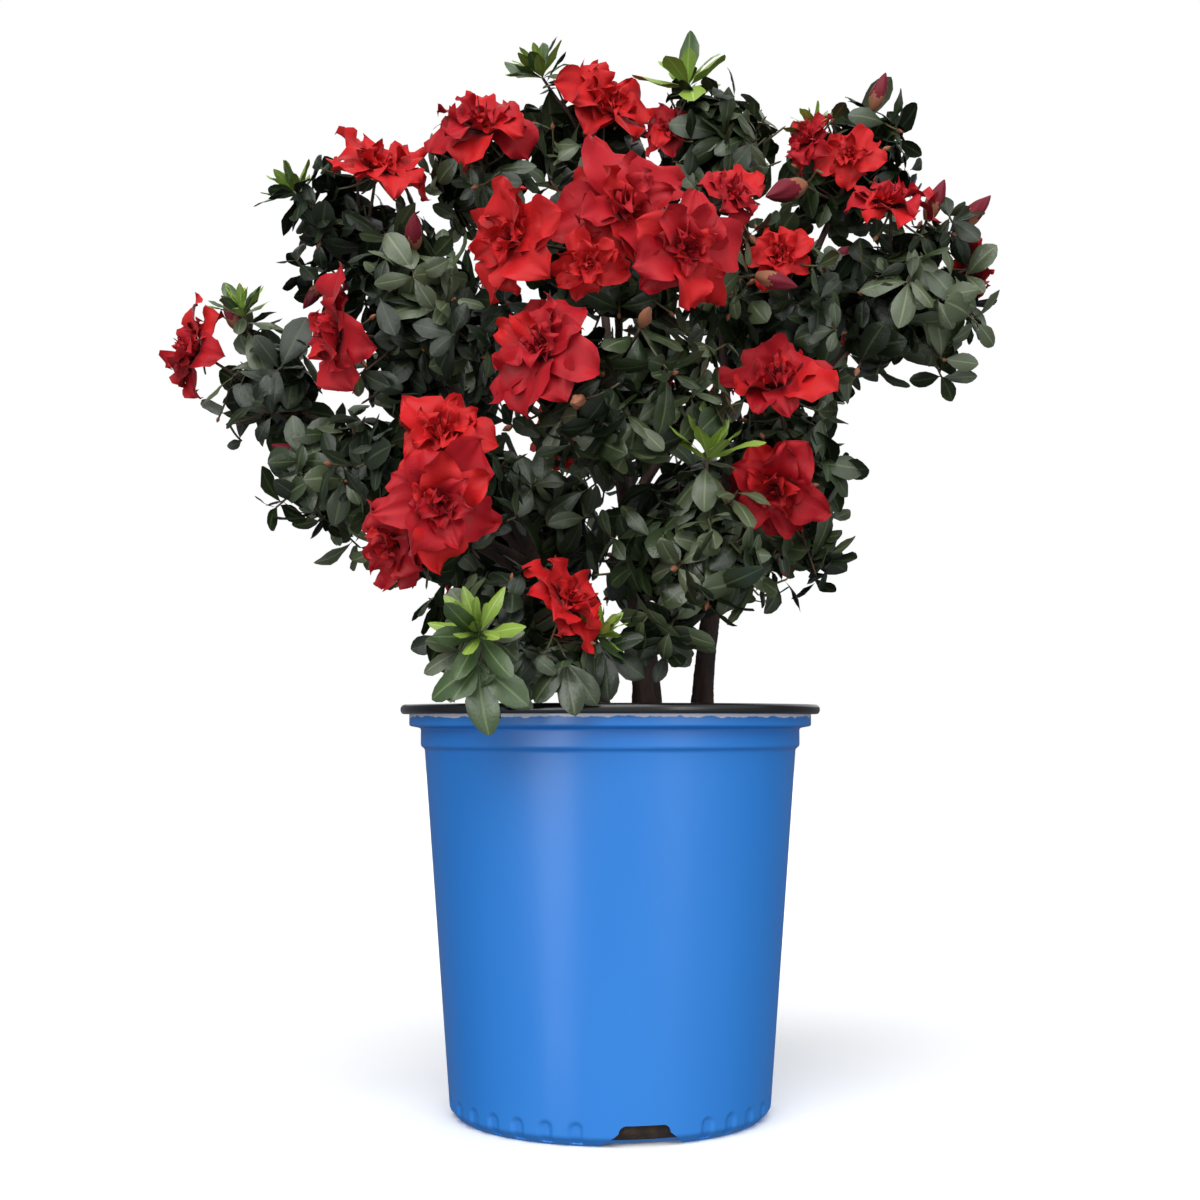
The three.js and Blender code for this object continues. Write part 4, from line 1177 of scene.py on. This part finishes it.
def growFill(space, name, index, start, top):
    mass = masses[name]
    random = seeded(seeds["fill"] + index)
    turn = random() * 2 * math.pi
    ways = []
    count = moreFill.get(name, fillShape["count"])
    for i, direction in enumerate(goldenWays(unit(top - start), count, fillShape["backwards"], turn)):
        share = mix(*fillShape["inner" if i % 2 else "outer"], random())
        ways.append((direction, tipAt(mass, direction, share)))
    for bearing, rise, share in reaching.get(name, []):
        ways.append((compass(bearing, rise), tipAt(mass, compass(bearing, rise), share)))
    ways += [(unit(place - mass["centre"]), place) for place in thinPlaces
             if depthInCell(place[None], name)[0] > 1]
    grown = 0
    for i, (direction, tip) in enumerate(ways):
        for rootShare in (mix(*fillShape["roots"], random()), *fillShape["rootTries"]):
            root = mix(start, top, rootShare)
            run = spacedPoints([root, tip], margins["beads"])
            if clearOfNeighbours(space, run, slack=1.0) and clearOfLimbs(space, run[3:], 0.5):
                break
        else:
            continue
        if isOpen(tip[None]):
            continue
        grown += 1
        shade = shadeOf(random)
        # leaves deep inside the mass take the darkest green: painted shade for the dark inside of the crown
        if np.linalg.norm((tip - mass["centre"]) / mass["reach"]) < fillShape["shadedInsideReach"]:
            shade = "inner"
        line = bentLine(root, tip, -up * fillShape["sag"])
        addTwig(line, fillShape["radius"], fillShape["tipRadius"], 5, i % 2)
        growAlong(space, {"root": root, "tip": tip}, shade, random, fillShape["leaves"])
        facing = unit(unit(tip - root) + direction * fillShape["outwards"] + up * fillShape["lift"])
        growRosette(space, tip, facing, shade, random, leaves=fillShape["rosette"])
        if random() < tipBuds["fillShare"]:
            addTipBud(tip, facing, mix(*tipBuds["fillSizes"], random()), random)
    return grown


# blooms and buds

petalGrid = {"rows": 14, "columns": 11}
petalShape = {
    "sizes": (0.84, 1.14), "riseSpread": 26, "fallSpread": 66, "throat": 0.03, "frill": 0.03, "pleat": 0.02,
    "crease": 0.06, "sway": 0.34, "twist": 1.3, "angleSpread": 0.36, "throatRows": 3, "glowPetalShare": 0.2,
}
stamens = {"count": 4, "lean": 0.34, "length": (0.55, 0.75), "radius": 0.45, "tipRadius": 0.3, "points": 5}
petalRings = [  # reach and width as shares of the radius and the petal, rise and fall in degrees
    {"count": 5, "reach": 1.3, "width": 0.72, "rise": 58, "fall": -40,
     "ruffle": 0.09, "cup": 0.12, "shift": 0.0},
    {"count": 5, "reach": 1.12, "width": 0.66, "rise": 68, "fall": -16,
     "ruffle": 0.14, "cup": 0.2, "shift": 0.5},
    {"count": 5, "reach": 0.86, "width": 0.52, "rise": 80, "fall": 14,
     "ruffle": 0.2, "cup": 0.3, "shift": 0.25},
    {"count": 5, "reach": 0.6, "width": 0.46, "rise": 92, "fall": 40,
     "ruffle": 0.26, "cup": 0.4, "shift": 0.6},
]
petalRows = np.linspace(0, 1, petalGrid["rows"])[:, None]
petalColumns = np.linspace(-1, 1, petalGrid["columns"])[None, :]
petalFaces = gridQuads(petalGrid["rows"], petalGrid["columns"])


def petalPoints(origin, axes, angle, radius, ring, random):
    # a petal climbs out of the throat, spreads and turns over, with waved edges and a pointed tip
    p = petalShape
    length = radius * ring["reach"] * mix(*p["sizes"], random())
    rise = math.radians(ring["rise"] + (random() - 0.5) * p["riseSpread"])
    fall = math.radians(ring["fall"] + (random() - 0.5) * p["fallSpread"])
    tilt = mix(rise, fall, petalRows ** 0.8)
    step = length / (petalGrid["rows"] - 1)
    outwards = np.cumsum(np.cos(tilt) * step, axis=0) - np.cos(tilt[0]) * step + radius * p["throat"]
    upwards = np.cumsum(np.sin(tilt) * step, axis=0) - np.sin(tilt[0]) * step
    # widest past the middle, drawn out to a point
    width = petalRows ** 1.05 * (1 - petalRows) ** 0.9 / 0.262
    width = np.maximum(width, 0.2 * (1 - petalRows)) * mix(*p["sizes"], random())
    half = width * ring["width"] * length / 2
    s = abs(petalColumns)
    phases = random() * 6.3, random() * 6.3
    pace = mix(9, 15, random())
    waves = np.where(petalColumns < 0, np.sin(pace * petalRows + phases[0]),
                     np.sin(13 * petalRows + phases[1]))
    opened = np.clip(petalRows * 1.6 - 0.2, 0, 1)
    ruffle = ring["ruffle"] * length * s ** 1.6 * waves * opened
    ruffle = ruffle + p["frill"] * length * s ** 2 * np.sin(27 * petalRows + phases[1]) * opened
    pleats = p["pleat"] * length * np.cos(3 * math.pi * petalColumns + phases[0])
    pleats = pleats * opened * (1 - 0.5 * petalRows)
    crease = -p["crease"] * length * np.exp(-(petalColumns / 0.22) ** 2)
    crease = crease * opened * (1 - petalRows * 0.6)
    lift = ring["cup"] * half * s ** 2 + ruffle + crease + pleats
    across = petalColumns * half * (1 + 0.1 * waves * s)
    across = across + length * (random() - 0.5) * p["sway"] * petalRows ** 2
    twist = (random() - 0.5) * p["twist"] * petalRows
    cos, sin = np.cos(twist), np.sin(twist)
    across, lift = across * cos - lift * sin, across * sin + lift * cos
    # lift stands square to the petal's own slope
    x = outwards - np.sin(tilt) * lift
    z = upwards + np.cos(tilt) * lift
    u, v, w = axes
    out = u * math.cos(angle) + v * math.sin(angle)
    side = -u * math.sin(angle) + v * math.cos(angle)
    size = petalGrid["rows"], petalGrid["columns"]
    x, y, z = (np.broadcast_to(a, size).reshape(-1) for a in (x, across, z))
    return origin + np.outer(x, out) + np.outer(y, side) + np.outer(z, w)


turnedBlooms = {("far_left", 0): (-62, 14), ("front_top", 4): (28, 24), ("top_right", 0): (-20, 22)}
smallBloom = {"below": 40, "share": 0.88}


def addBloom(twig, index):
    random = seeded(seeds["bloom"] + index)
    radius = twig["size"] / 2 * (smallBloom["share"] if twig["size"] < smallBloom["below"] else 1)
    axes, origin = twig["axes"], twig["tip"] - twig["facing"] * 2
    if twig["key"] in turnedBlooms:
        axes = axesAlong(compass(*turnedBlooms[twig["key"]]), axes)
    # every third bloom, and at random some petals of the others, get the brighter orange-red: painted glow of
    # light shining through the petals, dealt out without regard to where light falls
    bright = index % 3 == 1
    inThroat = np.arange(len(petalFaces)) // (petalGrid["columns"] - 1) < petalShape["throatRows"]
    for ring in petalRings:
        for i in range(ring["count"]):
            place = i + ring["shift"] + (random() - 0.5) * petalShape["angleSpread"]
            angle = twig["turn"] + place * 2 * math.pi / ring["count"]
            points = petalPoints(origin, axes, angle, radius, ring, random)
            shade = 1 if bright or random() < petalShape["glowPetalShare"] else 0
            addTo(petalHeap, points, petalFaces, np.where(inThroat, 2, shade))
    count = stamens["points"]
    for i in range(stamens["count"]):
        lean = pointOn(np.zeros(3), axes, stamens["lean"], twig["turn"] + i * goldenAngle, 1)
        end = origin + unit(lean) * radius * mix(*stamens["length"], random())
        line = bentLine(origin, end, -up * radius * 0.05, count)
        radii = np.linspace(stamens["radius"], stamens["tipRadius"], count)
        addTo(petalHeap, *tube(line, radii, 4), 2)


budShape = {
    "rows": 14, "sides": 20, "width": 0.2, "smallWidth": 0.23, "smallUpTo": 16, "twist": (0.8, 1.6),
    "fold": 0.14,
}


def addFlowerBud(twig):
    # furled petals wind round each other up to the point; the smallest buds are all scales
    b, size = budShape, twig["size"]
    small = size <= b["smallUpTo"]
    width = size * b["smallWidth" if small else "width"]
    twist = mix(*b["twist"], twig["random"]())

    def radiusAt(r, s, t, angle):
        fold = 1 + b["fold"] * math.cos(5 * (angle + twist * t)) * (0.3 + t)
        return width * math.sin(math.pi * (0.08 + 0.9 * t) ** 0.86) ** 0.9 * fold

    row, column = np.divmod(np.arange((b["rows"] - 1) * b["sides"]), b["sides"])
    paints = np.where(row + abs(column % 5 - 2) < 6, 1, 0)
    addSpindle(budHeap, twig["tip"], twig["axes"], (b["rows"], b["sides"]), size, radiusAt,
               paints=1 if small else paints)


tufts = {  # young leaves: how many, their slimness, lowest and highest in degrees
    "narrow": (12, 0.28, 24, 80), "broad": (9, 0.46, 4, 66), "broadOn": ("top_right", "back_top"),
}


tuftShape = {
    "upwards": 0.7, "jitter": 14, "shorter": (0.95, 0.62), "lengths": (0.88, 1.1), "spacing": 0.3,
    "curl": -0.35,
}


def addTuft(twig, tuft, random):
    t = tuftShape
    count, slimness, lowest, highest = tuft
    axes = axesAlong(unit(twig["facing"] + up * t["upwards"]))
    for i in range(count):
        rank = i / (count - 1)
        lift = math.radians(mix(lowest, highest, rank) + (random() - 0.5) * t["jitter"])
        along, normal = leafStand(axes, i * goldenAngle, lift, 0, 0)
        length = twig["size"] * mix(*t["shorter"], rank) * mix(*t["lengths"], random())
        base = twig["tip"] + axes[2] * i * t["spacing"]
        addLeaf(leafHeaps["young"], base, along, normal, length, slimness, random, t["curl"])


# growing the crown

def growMass(index, name):
    start, top = massStem(name)
    space = newSpace(name)
    plan = []
    for twig in twigPlan(name, start, top, seeds["plan"] + index):
        run = spacedPoints([twig["root"], twig["tip"]], margins["beads"])
        if not clearOfLimbs(space, run):
            continue
        if twig["kind"] == "bloom" or clearOfNeighbours(space, run, twig["tip"]):
            plan.append(twig)
    take(space, spacedPoints([start, top], margins["beads"]))
    for twig in plan:
        end = twig["tip"] + twig["direction"] * twig["size"] * (twig["kind"] == "bud")
        take(space, spacedPoints([twig["root"], twig["tip"], end], margins["beads"]), twig["key"])

    m = massStemShape
    boughEnd = pointAt(limbs["bough_" + name]["curve"], m["startOnBough"])
    addTwig(bentLine(boughEnd, top, count=8), m["radius"], m["tipRadius"], m["sides"])
    for twig in plan:
        growSprays(space, twig)
    for twig in plan:
        random = seeded(seeds["twig"] + twig["key"][1] + seeds["perMass"] * index)
        shade = shadeOf(random)
        line = bentLine(twig["root"], twig["tip"], -up * twigShape["sag"], 8)
        addTwig(line, twigShape["radius"], twigShape["tipRadius"])
        for outline in twig["lines"]:
            if twig["kind"] == "shoot":
                run = outline[1] - twig["tip"]
                normal = twig["facing"] - unit(run) * twig["facing"].dot(unit(run))
                addLeaf(leafHeaps["fresh"], twig["tip"], unit(run), unit(normal),
                        np.linalg.norm(run), 0.36, random, -0.3)
            else:
                own = random() < sprayShape["ownShade"]
                growSpray(space, twig, outline, shade if own else shadeOf(random), random)
        growAlong(space, twig, shade, random, 5, 0.2)
        if twig["kind"] == "leaves":
            growRosette(space, twig["tip"] + twig["facing"] * 7, twig["facing"], shade, random, leaves=6)
        elif twig["kind"] == "bloom":
            blooms.append(twig)
        elif twig["kind"] == "bud":
            addFlowerBud(twig)
            growRosette(space, twig["tip"], twig["facing"], shade, random, leaves=5, lowest=-30, highest=0)
        else:
            growRosette(space, twig["tip"], twig["facing"], "grey", random, leaves=6, lowest=-34, highest=12)
            addTuft(twig, tufts["broad" if name in tufts["broadOn"] else "narrow"], random)
    return growFill(space, name, index, start, top)


hanging = [  # thin twiglets that droop in front of the rim and the stems; leaves as bearing, rise, length
    {"start": (-61, -128, 250), "end": (-64, -138, 241), "shade": "fresh",
     "leaves": [(12, -80, 35), (-85, -28, 30), (60, -34, 32), (-40, -40, 24)]},
    {"start": (-30, -112, 256), "end": (-22, -124, 243), "shade": "mid",
     "leaves": [(70, -52, 27), (-60, -40, 26), (10, -62, 28), (120, -20, 24), (-10, 10, 20)]},
    {"start": (-22, -104, 262), "end": (-4, -108, 250), "shade": "deep",
     "leaves": [(80, -30, 26), (20, -70, 27), (-40, -50, 25), (150, -40, 26), (60, 20, 22)]},
    {"start": (-66, -118, 262), "end": (-74, -128, 248), "shade": "grey",
     "leaves": [(-80, -24, 21), (-20, -58, 27), (40, -40, 26), (-130, -40, 24), (-50, 20, 20)]},
]


def growHanging():
    random = seeded(seeds["hanging"])
    for h in hanging:
        start, end = np.array(h["start"], float), np.array(h["end"], float)
        addTwig(bentLine(start, end, up * 2.5, 7), 0.8, 0.6, 5, 1)
        facing = compass(-15, 30)
        for bearing, rise, length in h["leaves"]:
            along = compass(bearing, rise)
            normal = unit(facing - along * along.dot(facing))
            addLeaf(leafHeaps[h["shade"]], end, along, normal, length, leafShape["slimness"], random)


blooms = []
fineTwigs = sum(growMass(index, name) for index, name in enumerate(masses))
growHanging()
for index, twig in enumerate(blooms):
    addBloom(twig, index)
print("crown grown:", len(blooms), "blooms,", fineTwigs, "finer twigs,",
      sum(len(h["points"]) for h in leafHeaps.values()), "leaves")

foliageNodes = ["foliage_" + name for name in masses]
leafColours = {  # blade and rib
    # inner: the darkest green, painted shade on leaves deep inside the crown
    "inner": (rgb(19, 28, 13), rgb(44, 56, 31)),
    "deep": (rgb(26, 37, 19), rgb(54, 68, 40)),
    "mid": (rgb(46, 60, 32), rgb(80, 94, 58)),
    "grey": (rgb(76, 87, 58), rgb(110, 121, 88)),
    "fresh": (rgb(64, 86, 46), rgb(98, 120, 74)),
    "young": (rgb(132, 160, 62), rgb(160, 184, 96)),
}


def leafMaterial(name, colour, roughness):
    dull = name.startswith(("inner", "deep"))
    return paint(name, colour, roughness, None, (60, roughness - 0.08, roughness + 0.1),
                 (620, 0.35, 0.0006, 3.0), Specular_IOR_Level=0.4 if dull else 0.6)


for name, (blade, rib) in leafColours.items():
    materials = [leafMaterial(name + "Blade", blade, 0.42), leafMaterial(name + "Rib", rib, 0.5)]
    pieceFrom(leafHeaps[name], "leaves" + name.capitalize(), materials, foliageNodes)

twigStops = [(0.3, rgb(46, 30, 24)), (0.7, rgb(92, 66, 48))]
twigBark = paint("twigBark", rgb(70, 48, 36), 0.8, mottle=(300, twigStops), bump=(900, 0.5, 0.0005))
greenTwig = paint("greenTwig", rgb(84, 76, 48), 0.7, bump=(900, 0.4, 0.0004))
pieceFrom(twigHeap, "twigs", [twigBark, greenTwig], foliageNodes)


def petalMaterial(name, colour, roughness=0.55):
    return paint(name, colour, roughness, None, (90, roughness - 0.08, roughness + 0.08),
                 (700, 0.3, 0.0005, 4.0), Sheen_Weight=0.08, Sheen_Roughness=0.4, Specular_IOR_Level=0.2)


def nodesWith(kind):
    return ["foliage_" + name for name, mass in masses.items() if mass[kind]]


# the second red is brighter and more orange: painted glow of light through the petals
petals = [petalMaterial("petalRed", rgb(172, 14, 28)), petalMaterial("petalGlowPainted", rgb(192, 20, 24)),
          petalMaterial("petalThroat", rgb(104, 4, 16))]
pieceFrom(petalHeap, "petals", petals, nodesWith("blooms"))
buds = [petalMaterial("budCrimson", rgb(112, 18, 36)), petalMaterial("budScale", rgb(150, 96, 70), 0.6)]
pieceFrom(budHeap, "flowerBuds", buds, nodesWith("buds"))
